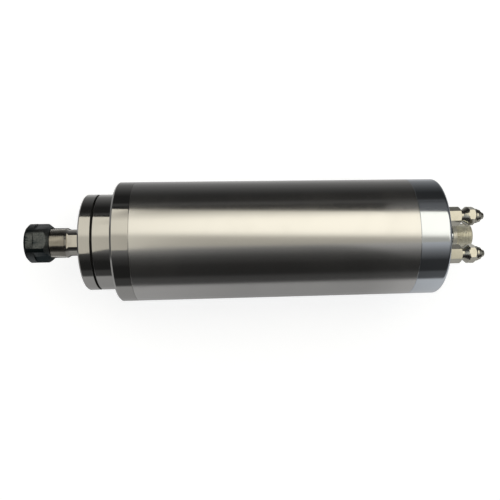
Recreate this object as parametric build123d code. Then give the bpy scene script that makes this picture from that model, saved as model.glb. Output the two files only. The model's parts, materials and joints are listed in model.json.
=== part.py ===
from build123d import *
import math
import os

# Water-cooled motor spindle with a collet nose, in millimetres.
# +X runs along the axis from the nose to the rear end, and the origin is on the axis at the
# middle of the body tube, where a round clamp holds the motor. +Z points up to the side where
# the two water fittings stand. An angle is counted about the axis from +Z towards +Y.

# ---------------------------------------------------------------- driving dimensions
# body
body_r = 50.0              # outside of the tube, the front flange and the rear cover
tube_len = 229.0
tube_wall = 4.0
flange_len = 14.5          # full-diameter part of the front bearing housing
nose_step = 10.0           # the nose is this much smaller in radius than the body
nose_len = 15.5
cap_len = 9.0
cap_groove_w = 2.0         # dark groove between the front cap and the nose
cap_groove_depth = 2.5
cover_len = 25.8
cover_wall = 11.0
cover_end_wall = 8.0
cover_edge_r = 3.3
body_chamfer = 1.7
nose_chamfer = 1.2
seam_chamfer = 0.3         # on both sides of the seams at the tube's ends

# front bearing housing and front bearings
spigot_len = 11.0          # part of the housing that sits inside the tube
front_lip = 4.0            # shoulder behind the bearings
front_section = 11.0       # outer radius minus bore radius of a front bearing
front_width = 12.0
cap_spigot_len = 5.0
cap_wall = 5.0             # front wall of the cap, in front of the lock nut
front_nut_len = 10.0
front_nut_gap = 0.5        # behind the cap's front wall
front_clamp_land = 3.0     # how far the cap and the spacer cover the outer rings
labyrinth_gap = 0.5        # round the ridge of the front lock nut
labyrinth_ridge = 1.5

# rear bearing housing and rear bearings
rear_journal_r = 8.5
rear_section = 9.0
rear_width = 10.0
rear_lip = 2.5
spring_len = 2.5
rear_nut_len = 8.0
rear_nut_wall = 5.5

# shaft nose, collet and collet nut
collet_r = 10.5
collet_len = 31.5
collet_bore_r = 5.0
collet_face_step = 1.8     # the front cone takes this off the radius
collet_face_angle = 30.0
collet_taper = 8.0         # half angle
collet_land = 1.5
collet_groove_w = 2.3
collet_groove_depth = 1.6
collet_slit = 0.8
collet_slits = 6           # from each end
collet_slit_roll = 7.5     # angle of the first slit
collet_rim = 0.5           # straight part behind the ejector groove
nose_wall = 2.0            # shaft wall from the collet's largest radius to the thread
thread_pitch = 1.5
thread_depth = 0.9
thread_len = 22.9
thread_runout = 2.7
neck_relief = 1.5
flat_depth = 1.2
flat_roll = 7.0            # angle at which one wrench flat faces
shaft_reach = 40.4         # front cap to shaft end
nut_overhang = 8.6         # collet nut's face in front of the shaft end
nut_len = 19.4
nut_wall = 3.7             # from the thread to the outside
nut_flat_depth = 1.35
nut_front_chamfer = 2.1
nut_back_step = 0.3        # wall left at the back, round the thread
nut_collar_len = 7.4
nut_roll = 8.0             # angle at which one flat of the nut faces
tool_bore_depth = 32.0     # straight bore behind the taper

# motor
seat_step = 0.65
core_wall = 5.6
air_gap = 0.4
end_ring_len = 8.0
jacket_wall = 7.0
channel_depth = 3.5
channel_rib = 4.0
channel_count = 10
channel_land = 13.0
wall_hole_inset = 3.9      # from the tube's bore to the holes in the jacket and rear housing
winding_overhang = 22.0
winding_clear = 9.5
yoke = 5.0
slot_count = 24
slot_w = 3.2
tooth_tip = 1.0

# water fittings and ports
port_y = 16.0
port_z = 20.0
port_bore_r = 3.5
port_boss_r = 8.0
port_depth = 16.0
port_thread_r = 5.0
washer_len = 1.0
fitting_across = 14.0
fitting_hex_len = 15.9
fitting_neck_r = 5.3
fitting_neck_len = 2.1
flare_len = 3.4
flare_rim = 1.0
flare_r = 8.0
stub_r = 6.1
stub_len = 7.6
nipple_len = 6.4
nipple_r = 4.2
nipple_tip_r = 2.6
water_r = 2.0
union_gap = 0.3
union_hex_len = 4.2
union_cone_len = 6.2
union_end_r = 5.2
union_bore_r = 4.6
union_cone_step = 1.8      # how much the cone's start lies inside the hexagon's corners
fitting_chamfer = 1.6

# connector
plug_z = -14.0
gasket_len = 0.8
sleeve_flange_r = 18.5
sleeve_flange_len = 3.0
sleeve_r = 12.0
sleeve_len = 19.4
sleeve_bore_r = 9.0
shell_ring_r = 12.4
shell_ring_len = 3.8
shell_r = 11.0
shell_barrel_len = 14.8
shell_wall = 2.0
insert_len = 16.0
socket_depth = 10.0
contact_r = 1.25
contact_circle_r = 5.0
contact_reach = 6.5
solder_len = 5.0
wire_r = 0.9
wire_hole_r = 2.6
wire_spread = 13.0         # angle between the four wire holes

# fits and seals
seat = 0.02                # between curved faces that stay together
run_fit = 0.05             # between curved faces that turn or slide on each other
collet_gap = 0.12          # round the collet inside its nut
slot_gap = 0.2             # round the winding in its slot
ball_gap = 0.12
turn_gap = 0.3             # labyrinth gap round the shaft
seal_r = 0.6
head_gap = 0.2             # round a screw's head
head_sink = 0.4            # how far a head lies under its face
tip_gap = 0.5              # past a screw's tip
overcut = 5.0              # how far a cutting tool runs past a face

# ---------------------------------------------------------------- stations along the axis
tube_front, tube_rear = -tube_len / 2, tube_len / 2
flange_front = tube_front - flange_len
nose_front = flange_front - nose_len
cap_back = nose_front - cap_groove_w
cap_front = cap_back - cap_len
cover_rear = tube_rear + cover_len
cover_inside = cover_rear - cover_end_wall

housing_end = tube_front + spigot_len
front_stack_rear = housing_end - front_lip
front_stack_front = nose_front + cap_spigot_len

rear_housing_front = tube_rear - rear_lip - spring_len - 2 * rear_width
spring_front = rear_housing_front + rear_lip
rear_stack_front = spring_front + spring_len
rear_shaft_end = tube_rear + rear_nut_len + 1.5

stack_front = housing_end + winding_clear + winding_overhang
stack_rear = rear_housing_front - winding_clear - winding_overhang

shaft_front = cap_front - shaft_reach
thread_end = shaft_front + thread_len
nut_front = shaft_front - nut_overhang
nut_rear = nut_front + nut_len
collet_front = nut_front + 0.3

# ---------------------------------------------------------------- radii that follow
nose_r = body_r - nose_step
tube_bore_r = body_r - tube_wall
jacket_bore_r = tube_bore_r - jacket_wall
channel_floor_r = tube_bore_r - channel_depth
cavity_r = body_r - cover_wall

thread_r = collet_r + nose_wall
neck_r = thread_r - neck_relief
front_outer_r = thread_r + front_section
front_collar_r = thread_r + 0.35 * front_section
rear_outer_r = rear_journal_r + rear_section
rear_collar_r = rear_journal_r + 0.3 * rear_section
rotor_seat_r = front_collar_r + seat_step
rotor_r = rotor_seat_r + core_wall
stator_bore_r = rotor_r + air_gap
slot_bottom_r = jacket_bore_r - yoke
nut_r = thread_r + nut_wall
cap_cavity_r = front_outer_r - front_clamp_land
front_nut_r = cap_cavity_r - labyrinth_gap - labyrinth_ridge

port_angle = math.degrees(math.atan2(port_y, port_z))
port_r = math.hypot(port_y, port_z)
wall_hole_r = tube_bore_r - wall_hole_inset
flange_screw_circle = nose_r + 3.0
cap_screw_circle = (front_outer_r + nose_r) / 2

# metric socket screws: thread radius, head radius, head height, socket across flats
M3 = (1.5, 2.75, 3.0, 2.5)
M4 = (2.0, 3.5, 4.0, 3.0)


# ---------------------------------------------------------------- helpers
def turned(*points):
    """A ring or a shaft from its half outline, given as (x, r) points."""
    outline = make_face(Polyline([(x, 0, r) for x, r in points], close=True))
    return revolve(outline, Axis.X)


def ring(x0, x1, inner, outer):
    return turned((x0, inner), (x0, outer), (x1, outer), (x1, inner))


def rod(x0, x1, r, y=0.0, z=0.0):
    """A round bar or hole along X."""
    upright = Cylinder(r, x1 - x0, align=(Align.CENTER, Align.CENTER, Align.MIN))
    return Pos(x0, y, z) * Rot(0, 90, 0) * upright


def hex_bar(x0, x1, across, y=0.0, z=0.0, roll=0.0):
    """A hexagonal bar along X with one flat facing the angle roll."""
    end = Plane(origin=(x0, y, z), x_dir=(0, 1, 0), z_dir=(1, 0, 0))
    flat_up = RegularPolygon(across / 2, 6, major_radius=False, rotation=30)
    bar = extrude(end * flat_up, x1 - x0)
    return Pos(0, y, z) * Rot(-roll, 0, 0) * Pos(0, -y, -z) * bar


def place(angle, r):
    """The y and z of a point at this angle and radius."""
    return r * math.sin(math.radians(angle)), r * math.cos(math.radians(angle))


def sector(x0, x1, inner, outer, start, end):
    """A block of a ring between two angles."""
    outline = make_face(Polyline([(x0, 0, inner), (x0, 0, outer), (x1, 0, outer), (x1, 0, inner)],
                                 close=True))
    return Rot(-end, 0, 0) * revolve(outline, Axis.X, end - start)


def socket_screw(seat_x, facing, size, length, y, z):
    """A socket head screw whose head sits on seat_x and faces -1 or +1 along X."""
    thread, head, height, across = size
    ends = sorted((seat_x, seat_x - facing * length))
    screw = rod(*ends, thread - run_fit, y, z)
    screw += rod(*sorted((seat_x, seat_x + facing * height)), head, y, z)
    top = seat_x + facing * height
    socket = hex_bar(*sorted((top, top - facing * height / 2)), across, y, z)
    return screw - socket


def screw_hole(seat_x, facing, size, length, y, z):
    """The hole and counterbore that socket_screw fits, open on the head's side."""
    thread, head, height, _ = size
    hole = rod(*sorted((seat_x, seat_x - facing * (length + tip_gap))), thread, y, z)
    head_ends = sorted((seat_x, seat_x + facing * (height + overcut)))
    return hole + rod(*head_ends, head + head_gap, y, z)


def seal(x, r):
    """An O-ring about the axis, whose section is centred at this radius."""
    return Pos(x, 0, 0) * Rot(0, 90, 0) * Torus(r, seal_r - 2 * seat)


def seal_groove(x, outer):
    return ring(x - 1.2 * seal_r, x + 1.2 * seal_r, outer - 2 * seal_r, outer + 1)


def save(name, *solids):
    """One STEP file for one node: a single solid, or several that share the node."""
    shape = solids[0] if len(solids) == 1 else Compound(children=list(solids))
    export_step(shape, f"parts/{name}.step")


# ---------------------------------------------------------------- screws and their places
cap_screw_seat = cap_front + M4[2] + head_sink
cap_screw_len = 16.0
cap_screw_places = [place(30 + 60 * k, cap_screw_circle) for k in range(6)]

flange_screw_seat = flange_front + M3[2] + head_sink
flange_screw_len = 30.0
flange_screw_places = [place(60 * k, flange_screw_circle) for k in range(6)]

cover_screw_seat = cover_rear - M4[2] - head_sink
cover_screw_len = cover_len + 8.0
cover_screw_places = [place(90 * k, wall_hole_r) for k in range(4)]

inner_screw_seat = tube_rear - M4[2] - head_sink
inner_screw_len = tube_rear - rear_housing_front + 5.0
inner_screw_places = [place(angle, wall_hole_r) for angle in (65, 115, 245, 295)]

sleeve_screw_seat = cover_rear + gasket_len + sleeve_flange_len
sleeve_screw_len = 9.0
sleeve_screw_circle = (sleeve_r + sleeve_flange_r) / 2


# ---------------------------------------------------------------- front end
def front_end_cap():
    step_r = nose_r - cap_groove_depth
    cap = turned((cap_front, thread_r + turn_gap), (cap_front, nose_r - nose_chamfer),
                 (cap_front + nose_chamfer, nose_r), (cap_back, nose_r), (cap_back, step_r),
                 (nose_front, step_r), (nose_front, front_outer_r - seat),
                 (front_stack_front, front_outer_r - seat), (front_stack_front, cap_cavity_r),
                 (cap_front + cap_wall, cap_cavity_r), (cap_front + cap_wall, thread_r + turn_gap))
    for y, z in cap_screw_places:
        cap -= screw_hole(cap_screw_seat, -1, M4, cap_screw_len, y, z)
    return cap


def front_bearing_housing():
    lip_r = front_collar_r + 1.1
    housing = turned((nose_front, front_outer_r), (nose_front, nose_r - 0.6),
                     (nose_front + 0.6, nose_r), (flange_front, nose_r),
                     (flange_front, body_r - body_chamfer), (flange_front + body_chamfer, body_r),
                     (tube_front - seam_chamfer, body_r), (tube_front, body_r - seam_chamfer),
                     (tube_front, tube_bore_r - seat), (housing_end, tube_bore_r - seat),
                     (housing_end, lip_r), (front_stack_rear, lip_r),
                     (front_stack_rear, front_outer_r))
    for y, z in cap_screw_places:
        housing -= screw_hole(cap_screw_seat, -1, M4, cap_screw_len, y, z)
    for y, z in flange_screw_places:
        housing -= screw_hole(flange_screw_seat, -1, M3, flange_screw_len, y, z)
    return housing - seal_groove(front_seal_x, tube_bore_r)


# ---------------------------------------------------------------- body
front_seal_x = tube_front + 4.0
rear_seal_x = tube_rear - 7.0
jacket_seal_xs = (housing_end + 4.0, rear_housing_front - 4.0)


def body_tube():
    edge = seam_chamfer
    return turned((tube_front, tube_bore_r), (tube_front, body_r - edge), (tube_front + edge, body_r),
                  (tube_rear - edge, body_r), (tube_rear, body_r - edge), (tube_rear, tube_bore_r))


def channel_angles():
    """Middle angles of the axial water channels, from one port round to the other."""
    pitch = (360 - 2 * port_angle) / (channel_count - 1)
    return [port_angle + pitch * k for k in range(channel_count)], pitch


def water_jacket():
    """Sleeve round the stator, with axial channels joined at alternate ends."""
    front, rear = housing_end, rear_housing_front
    jacket = ring(front, rear, jacket_bore_r, tube_bore_r - seat)
    first, last = front + channel_land, rear - channel_land
    middles, pitch = channel_angles()
    half = pitch / 2 - math.degrees(channel_rib / 2 / tube_bore_r)
    outer = tube_bore_r + 1
    for middle in middles:
        jacket -= sector(first, last, channel_floor_r, outer, middle - half, middle + half)
    for k in range(channel_count - 1):
        x0, x1 = (first, first + 2 * channel_rib) if k % 2 == 0 else (last - 2 * channel_rib, last)
        jacket -= sector(x0, x1, channel_floor_r, outer, middles[k], middles[k + 1])
    for side in (-1, 1):
        y, z = place(side * port_angle, wall_hole_r)
        jacket -= rod(last - 1, rear + 1, water_r, y, z)
    for y, z in flange_screw_places:
        jacket -= screw_hole(flange_screw_seat, -1, M3, flange_screw_len, y, z)
    for y, z in inner_screw_places:
        jacket -= screw_hole(inner_screw_seat, 1, M4, inner_screw_len, y, z)
    for x in jacket_seal_xs:
        jacket -= seal_groove(x, tube_bore_r)
    return jacket


def rear_bearing_housing():
    housing = turned((rear_housing_front, rear_collar_r + 1.0),
                     (rear_housing_front, tube_bore_r - seat), (tube_rear, tube_bore_r - seat),
                     (tube_rear, rear_outer_r), (spring_front, rear_outer_r),
                     (spring_front, rear_collar_r + 1.0))
    cross_x = tube_rear - port_depth + port_bore_r
    for side in (-1, 1):
        housing -= rod(tube_rear - port_depth, tube_rear + 1, port_bore_r, side * port_y, port_z)
        out = Rot(-side * port_angle, 0, 0) * Pos(cross_x, 0, port_r)
        reach = tube_bore_r + 1 - port_r
        housing -= out * Cylinder(port_bore_r - 0.5, reach,
                                  align=(Align.CENTER, Align.CENTER, Align.MIN))
        y, z = place(side * port_angle, wall_hole_r)
        housing -= rod(rear_housing_front - 1, cross_x, water_r, y, z)
    for y, z in cover_screw_places:
        housing -= screw_hole(cover_screw_seat, 1, M4, cover_screw_len, y, z)
    for y, z in inner_screw_places:
        housing -= screw_hole(inner_screw_seat, 1, M4, inner_screw_len, y, z)
    for angle in wire_angles:
        housing -= rod(rear_housing_front - 1, tube_rear + 1, wire_hole_r, *place(angle, wire_circle))
    return housing - seal_groove(rear_seal_x, tube_bore_r)


def rear_cover():
    edge = cover_edge_r
    arc_mid = edge * (1 - math.sqrt(0.5))
    outline = Polyline((cover_rear - edge, 0, body_r), (tube_rear + seam_chamfer, 0, body_r),
                       (tube_rear, 0, body_r - seam_chamfer), (tube_rear, 0, cavity_r),
                       (cover_inside, 0, cavity_r), (cover_inside, 0, 0), (cover_rear, 0, 0),
                       (cover_rear, 0, body_r - edge))
    rounded = ThreePointArc((cover_rear, 0, body_r - edge),
                            (cover_rear - arc_mid, 0, body_r - arc_mid),
                            (cover_rear - edge, 0, body_r))
    cover = revolve(make_face([outline, rounded]), Axis.X)
    for side in (-1, 1):
        y = side * port_y
        cover += rod(tube_rear, cover_inside + 1, port_boss_r, y, port_z)
        cover -= rod(tube_rear - 1, cover_inside, port_bore_r, y, port_z)
        cover -= rod(cover_inside - 1, cover_rear + 1, port_thread_r, y, port_z)
        cover -= rod(tube_rear - 1, tube_rear + 1.5 * seal_r, port_bore_r + 2 * seal_r, y, port_z)
    for y, z in cover_screw_places:
        cover -= screw_hole(cover_screw_seat, 1, M4, cover_screw_len, y, z)
    cover -= rod(cover_inside - 1, cover_rear + 1, sleeve_bore_r, 0, plug_z)
    for y, z in sleeve_screw_places:
        cover -= screw_hole(sleeve_screw_seat, 1, M3, sleeve_screw_len, y, z)
    return cover


def port_seal(side):
    section = 0.75 * seal_r - seat
    centre = Pos(tube_rear + 0.75 * seal_r, side * port_y, port_z)
    return centre * Rot(0, 90, 0) * Torus(port_bore_r + seal_r, section)


# ---------------------------------------------------------------- bearings
def ball_size(inner, outer):
    """Ball radius, and the radius of the circle of ball centres."""
    return 0.3 * (outer - inner), (inner + outer) / 2


def outer_ring(x, width, inner, outer):
    ball, circle = ball_size(inner, outer)
    race = ring(x, x + width, circle + 0.55 * ball, outer - seat)
    return race - Pos(x + width / 2, 0, 0) * Rot(0, 90, 0) * Torus(circle, ball + ball_gap)


def inner_ring(x, width, inner, outer):
    ball, circle = ball_size(inner, outer)
    race = ring(x, x + width, inner + seat, circle - 0.55 * ball)
    return race - Pos(x + width / 2, 0, 0) * Rot(0, 90, 0) * Torus(circle, ball + ball_gap)


def ball_count(inner, outer):
    ball, circle = ball_size(inner, outer)
    return int(2 * math.pi * circle / (2 * ball) * 0.82)


def balls(x, width, inner, outer):
    ball, circle = ball_size(inner, outer)
    count = ball_count(inner, outer)
    return [Pos(x + width / 2, *place(360 * k / count, circle)) * Sphere(ball)
            for k in range(count)]


def ball_cage(x, width, inner, outer):
    ball, circle = ball_size(inner, outer)
    cage = ring(x + 0.8, x + width - 0.8, circle - 0.3 * ball, circle + 0.3 * ball)
    count = ball_count(inner, outer)
    for k in range(count):
        pocket = Pos(x + width / 2, 0, 0) * Rot(-360 * k / count, 0, 0) * Pos(0, 0, circle)
        cage -= pocket * Cylinder(ball + run_fit, 2 * ball)
    return cage


def preload_spring():
    """Wave spring between the rear housing's lip and the outer ring."""
    return ring(spring_front, rear_stack_front, rear_outer_r - 3.0, rear_outer_r - 0.5)


def cage_ratio(inner, outer):
    """How far a cage turns for one turn of the shaft, for balls at 15 degrees of contact."""
    ball, circle = ball_size(inner, outer)
    return 0.5 * (1 - ball / circle * math.cos(math.radians(15)))


front_bearing_xs = (front_stack_front, front_stack_rear - front_width)
rear_bearing_xs = (rear_stack_front, rear_stack_front + rear_width)
bearings = [(f"front_bearing_{k + 1}", x, front_width, thread_r, front_outer_r)
            for k, x in enumerate(front_bearing_xs)]
bearings += [(f"rear_bearing_{k + 1}", x, rear_width, rear_journal_r, rear_outer_r)
             for k, x in enumerate(rear_bearing_xs)]


# ---------------------------------------------------------------- stator
def stator_core():
    core = ring(stack_front, stack_rear, stator_bore_r, jacket_bore_r - seat)
    depth = slot_bottom_r - stator_bore_r - tooth_tip
    for k in range(slot_count):
        middle = Rot(-360 * k / slot_count, 0, 0) * Pos(0, 0, slot_bottom_r - depth / 2)
        core -= middle * Pos((stack_front + stack_rear) / 2, 0, 0) * Box(
            stack_rear - stack_front + 2, slot_w, depth)
    return core


def stator_winding():
    """Coil sides in the slots, joined by a round end turn at each end of the stack."""
    inner, outer = stator_bore_r + tooth_tip + slot_gap, slot_bottom_r - slot_gap
    rounding = min(3.0, (outer - inner) / 3)
    turns = []
    for x0, x1 in ((stack_front - winding_overhang, stack_front - 0.3),
                   (stack_rear + 0.3, stack_rear + winding_overhang)):
        end_turn = ring(x0, x1, inner, outer)
        far = x0 if x0 < stack_front else x1
        turns.append(fillet(end_turn.edges().filter_by_position(Axis.X, far, far), rounding))
    winding = turns[0] + turns[1]
    for k in range(slot_count):
        middle = Rot(-360 * k / slot_count, 0, 0) * Pos(0, 0, (inner + outer) / 2)
        winding += middle * Pos((stack_front + stack_rear) / 2, 0, 0) * Box(
            stack_rear - stack_front + 4, slot_w - 2 * slot_gap, outer - inner - 2 * slot_gap)
    return winding


# ---------------------------------------------------------------- rotor
def thread_outline(x0, x1, r):
    """Crests and roots of a thread as rings, from x0 to x1."""
    count = int((x1 - x0) / thread_pitch)
    points = []
    for k in range(count):
        x = x0 + thread_pitch * k
        points += [(x + 0.2 * thread_pitch, r), (x + 0.6 * thread_pitch, r - thread_depth),
                   (x + thread_pitch, r)]
    return points


def collet_outline_r(x):
    """Radius of the collet's long taper at x."""
    taper_start = collet_front + cone_len + collet_land + collet_groove_w + collet_rim
    return collet_r - (x - taper_start) * math.tan(math.radians(collet_taper))


cone_len = collet_face_step / math.tan(math.radians(collet_face_angle))
taper_end = collet_front + collet_len + 1.5
tool_bore_r = collet_bore_r + 0.6
tool_bore_end = taper_end + tool_bore_depth


def spindle_shaft():
    mouth_r = collet_outline_r(shaft_front) + run_fit
    outside = [(shaft_front, mouth_r), (shaft_front, thread_r - thread_depth)]
    outside += [(shaft_front + thread_depth, thread_r)]
    outside += thread_outline(shaft_front + thread_depth, thread_end, thread_r)
    outside += [(thread_end, thread_r), (thread_end + thread_runout, neck_r),
                (cap_front + 0.5, neck_r), (cap_front + 0.5, thread_r),
                (front_stack_rear, thread_r), (front_stack_rear, front_collar_r),
                (stack_front - end_ring_len - 10, front_collar_r),
                (stack_front - end_ring_len - 10, rotor_seat_r),
                (stack_rear + end_ring_len + 10, rotor_seat_r),
                (stack_rear + end_ring_len + 12, rear_collar_r),
                (rear_stack_front, rear_collar_r), (rear_stack_front, rear_journal_r),
                (rear_shaft_end - 1, rear_journal_r), (rear_shaft_end, rear_journal_r - 1)]
    bore = [(rear_shaft_end, 0), (tool_bore_end + tool_bore_r / 2, 0),
            (tool_bore_end, tool_bore_r), (taper_end, tool_bore_r),
            (taper_end, collet_outline_r(taper_end) + run_fit)]
    shaft = turned(*outside, *bore)
    flats_start = thread_end + thread_runout / 2
    for side in (0, 180):
        flat = Rot(-flat_roll - side, 0, 0) * Pos(0, 0, neck_r - flat_depth + 5)
        middle = (flats_start + cap_front) / 2
        shaft -= flat * Pos(middle, 0, 0) * Box(cap_front - flats_start, 4 * neck_r, 10)
    return shaft


def front_lock_nut():
    """Nut that clamps the front inner rings, with a labyrinth ridge round it."""
    x0, x1 = front_stack_front - front_nut_len + front_nut_gap, front_stack_front
    mid, ridge_r = (x0 + x1) / 2, front_nut_r + labyrinth_ridge
    nut = turned((x0, thread_r + seat), (x0, front_nut_r), (mid - 1, front_nut_r),
                 (mid - 1, ridge_r), (mid + 1, ridge_r), (mid + 1, front_nut_r),
                 (x1, front_nut_r), (x1, thread_r + seat))
    for k in range(4):
        nut -= Rot(-90 * k, 0, 0) * Pos(x0, 0, front_nut_r) * Box(4, 4, 4)
    return nut


def rear_lock_nut():
    x0, x1 = tube_rear, tube_rear + rear_nut_len
    outer = rear_journal_r + rear_nut_wall
    nut = ring(x0, x1, rear_journal_r + seat, outer)
    for k in range(4):
        nut -= Rot(-90 * k, 0, 0) * Pos(x1, 0, outer) * Box(8, 3.5, 3)
    return nut


# ---------------------------------------------------------------- collet and its nut
def collet():
    end = collet_front + collet_len
    groove_start = collet_front + cone_len + collet_land
    groove_end = groove_start + collet_groove_w
    body = turned((collet_front, collet_bore_r), (collet_front, collet_r - collet_face_step),
                  (collet_front + cone_len, collet_r), (groove_start, collet_r),
                  (groove_start, collet_r - collet_groove_depth),
                  (groove_end, collet_r - collet_groove_depth), (groove_end, collet_r),
                  (groove_end + collet_rim, collet_r), (end, collet_outline_r(end)),
                  (end, collet_bore_r))
    slit_len = 0.8 * collet_len
    for k in range(2 * collet_slits):
        x = collet_front + slit_len / 2 - 1 if k % 2 == 0 else end - slit_len / 2 + 1
        angle = collet_slit_roll + 180 * k / collet_slits
        reach = Rot(-angle, 0, 0) * Pos(x, 0, collet_r)
        body -= reach * Box(slit_len + 2, collet_slit, 2 * collet_r - 2)
    return body


def collet_nut():
    """Round collar in front, hexagon behind, and a lip that bears on the collet's cone."""
    gap = collet_gap
    cone_start, cone_end = collet_front, collet_front + cone_len
    ridge_start = collet_front + cone_len + collet_land + 0.25
    ridge_end = ridge_start + collet_groove_w - 0.5
    ridge_r = collet_r - collet_groove_depth + 0.2
    chamber_x = shaft_front - 0.6
    open_r = collet_r - collet_face_step + gap
    back_chamfer = nut_r - thread_r - nut_back_step
    nut = turned((nut_front, open_r), (nut_front, nut_r - nut_front_chamfer),
                 (nut_front + nut_front_chamfer, nut_r), (nut_rear - back_chamfer, nut_r),
                 (nut_rear, thread_r + nut_back_step),
                 (nut_rear, thread_r + run_fit), (chamber_x, thread_r + run_fit),
                 (chamber_x, collet_r + gap + 0.1), (ridge_end, collet_r + gap + 0.1),
                 (ridge_end, ridge_r), (ridge_start, ridge_r), (ridge_start, collet_r + gap),
                 (cone_end, collet_r + gap), (cone_start, open_r))
    hex_start = nut_front + nut_collar_len
    outside = ring(hex_start, nut_rear + 1, thread_r, nut_r + 5)
    outside -= hex_bar(hex_start - 1, nut_rear + 2, 2 * (nut_r - nut_flat_depth), roll=nut_roll)
    return nut - outside


# ---------------------------------------------------------------- water fittings
hex_front = cover_rear + washer_len
neck_start = hex_front + fitting_hex_len
flare_start = neck_start + fitting_neck_len
stub_start = flare_start + flare_len + flare_rim
nipple_start = stub_start + stub_len
union_start = stub_start + union_gap
union_cone_start = union_start + union_hex_len
union_end = union_cone_start + union_cone_len


def fitting_body(side):
    """Screwed-in hexagon body with a flared collar, a threaded stub and a hose nipple."""
    corner = fitting_across / math.sqrt(3)
    inside = cover_inside + 0.5
    body = turned((inside, water_r), (inside, port_thread_r - run_fit),
                  (hex_front, port_thread_r - run_fit), (hex_front, corner),
                  (neck_start - 1, corner), (neck_start, corner - fitting_chamfer),
                  (neck_start, fitting_neck_r), (flare_start, fitting_neck_r),
                  (flare_start + flare_len, flare_r), (stub_start, flare_r),
                  (stub_start, stub_r), (nipple_start, stub_r), (nipple_start, nipple_r),
                  (nipple_start + nipple_len / 2, nipple_r),
                  (nipple_start + nipple_len, nipple_tip_r), (nipple_start + nipple_len, water_r))
    outside = ring(hex_front, neck_start, fitting_across / 4, corner + 2)
    outside -= hex_bar(hex_front - 1, neck_start + 1, fitting_across)
    return Pos(0, side * port_y, port_z) * (body - outside)


def sealing_washer(side):
    washer = ring(cover_rear, hex_front, port_thread_r, fitting_across / 2 - 0.3)
    return Pos(0, side * port_y, port_z) * washer


def union_nut(side):
    """Nut that clamps the hose on the nipple: a short hexagon and a cone."""
    corner = fitting_across / math.sqrt(3)
    step_x = nipple_start + 0.6
    nut = turned((union_start, stub_r + run_fit), (union_start, corner - 0.5),
                 (union_start + 0.5, corner), (union_cone_start, corner),
                 (union_cone_start + 2, corner - union_cone_step), (union_end, union_end_r),
                 (union_end, union_bore_r), (step_x, union_bore_r), (step_x, stub_r + run_fit))
    outside = ring(union_start - 1, union_end + 1, stub_r, corner + 2)
    outside -= hex_bar(union_start - 2, union_end + 2, fitting_across, roll=8)
    return Pos(0, side * port_y, port_z) * (nut - outside)


# ---------------------------------------------------------------- connector
sleeve_start = cover_rear + gasket_len
shell_start = sleeve_start + sleeve_len
barrel_start = shell_start + shell_ring_len
shell_end = barrel_start + shell_barrel_len
insert_end = shell_end - socket_depth
insert_start = insert_end - insert_len
contact_places = [place(45 + 90 * k, contact_circle_r) for k in range(4)]
sleeve_screw_places = [(y, z + plug_z) for y, z in
                       (place(45 + 90 * k, sleeve_screw_circle) for k in range(4))]


def connector_gasket():
    gasket = ring(cover_rear, sleeve_start, sleeve_bore_r, sleeve_flange_r)
    gasket = Pos(0, 0, plug_z) * gasket
    for y, z in sleeve_screw_places:
        gasket -= screw_hole(sleeve_screw_seat, 1, M3, sleeve_screw_len, y, z)
    return gasket


def connector_sleeve():
    """Raised sleeve that carries the connector clear of the rear cover."""
    flange_end = sleeve_start + sleeve_flange_len
    sleeve = turned((sleeve_start, sleeve_bore_r), (sleeve_start, sleeve_flange_r),
                    (flange_end, sleeve_flange_r), (flange_end, sleeve_r),
                    (shell_start, sleeve_r), (shell_start, sleeve_bore_r))
    sleeve = Pos(0, 0, plug_z) * sleeve
    for y, z in sleeve_screw_places:
        sleeve -= screw_hole(sleeve_screw_seat, 1, M3, sleeve_screw_len, y, z)
    return sleeve


def connector_shell():
    """Threaded barrel on a ring, with a skirt that goes down into the sleeve."""
    bore_r = sleeve_bore_r - shell_wall
    skirt_start = insert_start - 1
    outside = [(skirt_start, sleeve_bore_r - seat), (shell_start, sleeve_bore_r - seat),
               (shell_start, shell_ring_r), (barrel_start, shell_ring_r), (barrel_start, shell_r)]
    outside += thread_outline(barrel_start + 1, shell_end - 1, shell_r)
    outside += [(shell_end - 0.6, shell_r), (shell_end, shell_r - 0.6)]
    inside = [(shell_end, bore_r), (skirt_start, bore_r)]
    return Pos(0, 0, plug_z) * turned(*outside, *inside)


def connector_insert():
    """Insulator that holds the four contacts."""
    body = rod(insert_start, insert_end, sleeve_bore_r - shell_wall - seat)
    for y, z in contact_places:
        body -= rod(insert_start - 1, insert_end + 1, contact_r + seat, y, z)
    return Pos(0, 0, plug_z) * body


def contact(y, z):
    pin = rod(insert_start - solder_len, insert_end + contact_reach, contact_r, y, z + plug_z)
    cup = rod(insert_start - solder_len - 1, insert_start - 2, wire_r + 0.02, y, z + plug_z)
    return pin - cup


# ---------------------------------------------------------------- lead wires
wire_circle = (stator_bore_r + slot_bottom_r) / 2 + 1.0
wire_angles = [180 + wire_spread * k for k in (-1.5, -0.5, 0.5, 1.5)]


def wire_ends():
    """Wire hole and contact for each lead, paired so that no two leads cross."""
    holes = [place(angle, wire_circle) for angle in wire_angles]
    order = sorted(contact_places, key=lambda p: (-p[0], p[1]))
    right, left = order[:2], order[2:]
    return list(zip(holes, [right[1], right[0], left[0], left[1]]))


def lead_wire(hole, target):
    """A lead from the end turn, through its hole in the rear housing, to its contact."""
    y0, z0 = hole
    y1, z1 = target[0], target[1] + plug_z
    start = stack_rear + winding_overhang
    end = insert_start - solder_len + 1.5
    x_out, x_in = tube_rear + 2.5, cover_inside + 1.0
    points = [(start, y0, z0), (x_out, y0, z0), (x_in, y1, z1), (end, y1, z1)]
    path = FilletPolyline(*points, radius=[5.0, 5.0])
    section = Plane(origin=points[0], z_dir=(1, 0, 0)) * Circle(wire_r)
    return sweep(section, path)


# ---------------------------------------------------------------- write the nodes
os.makedirs("parts", exist_ok=True)

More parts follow.
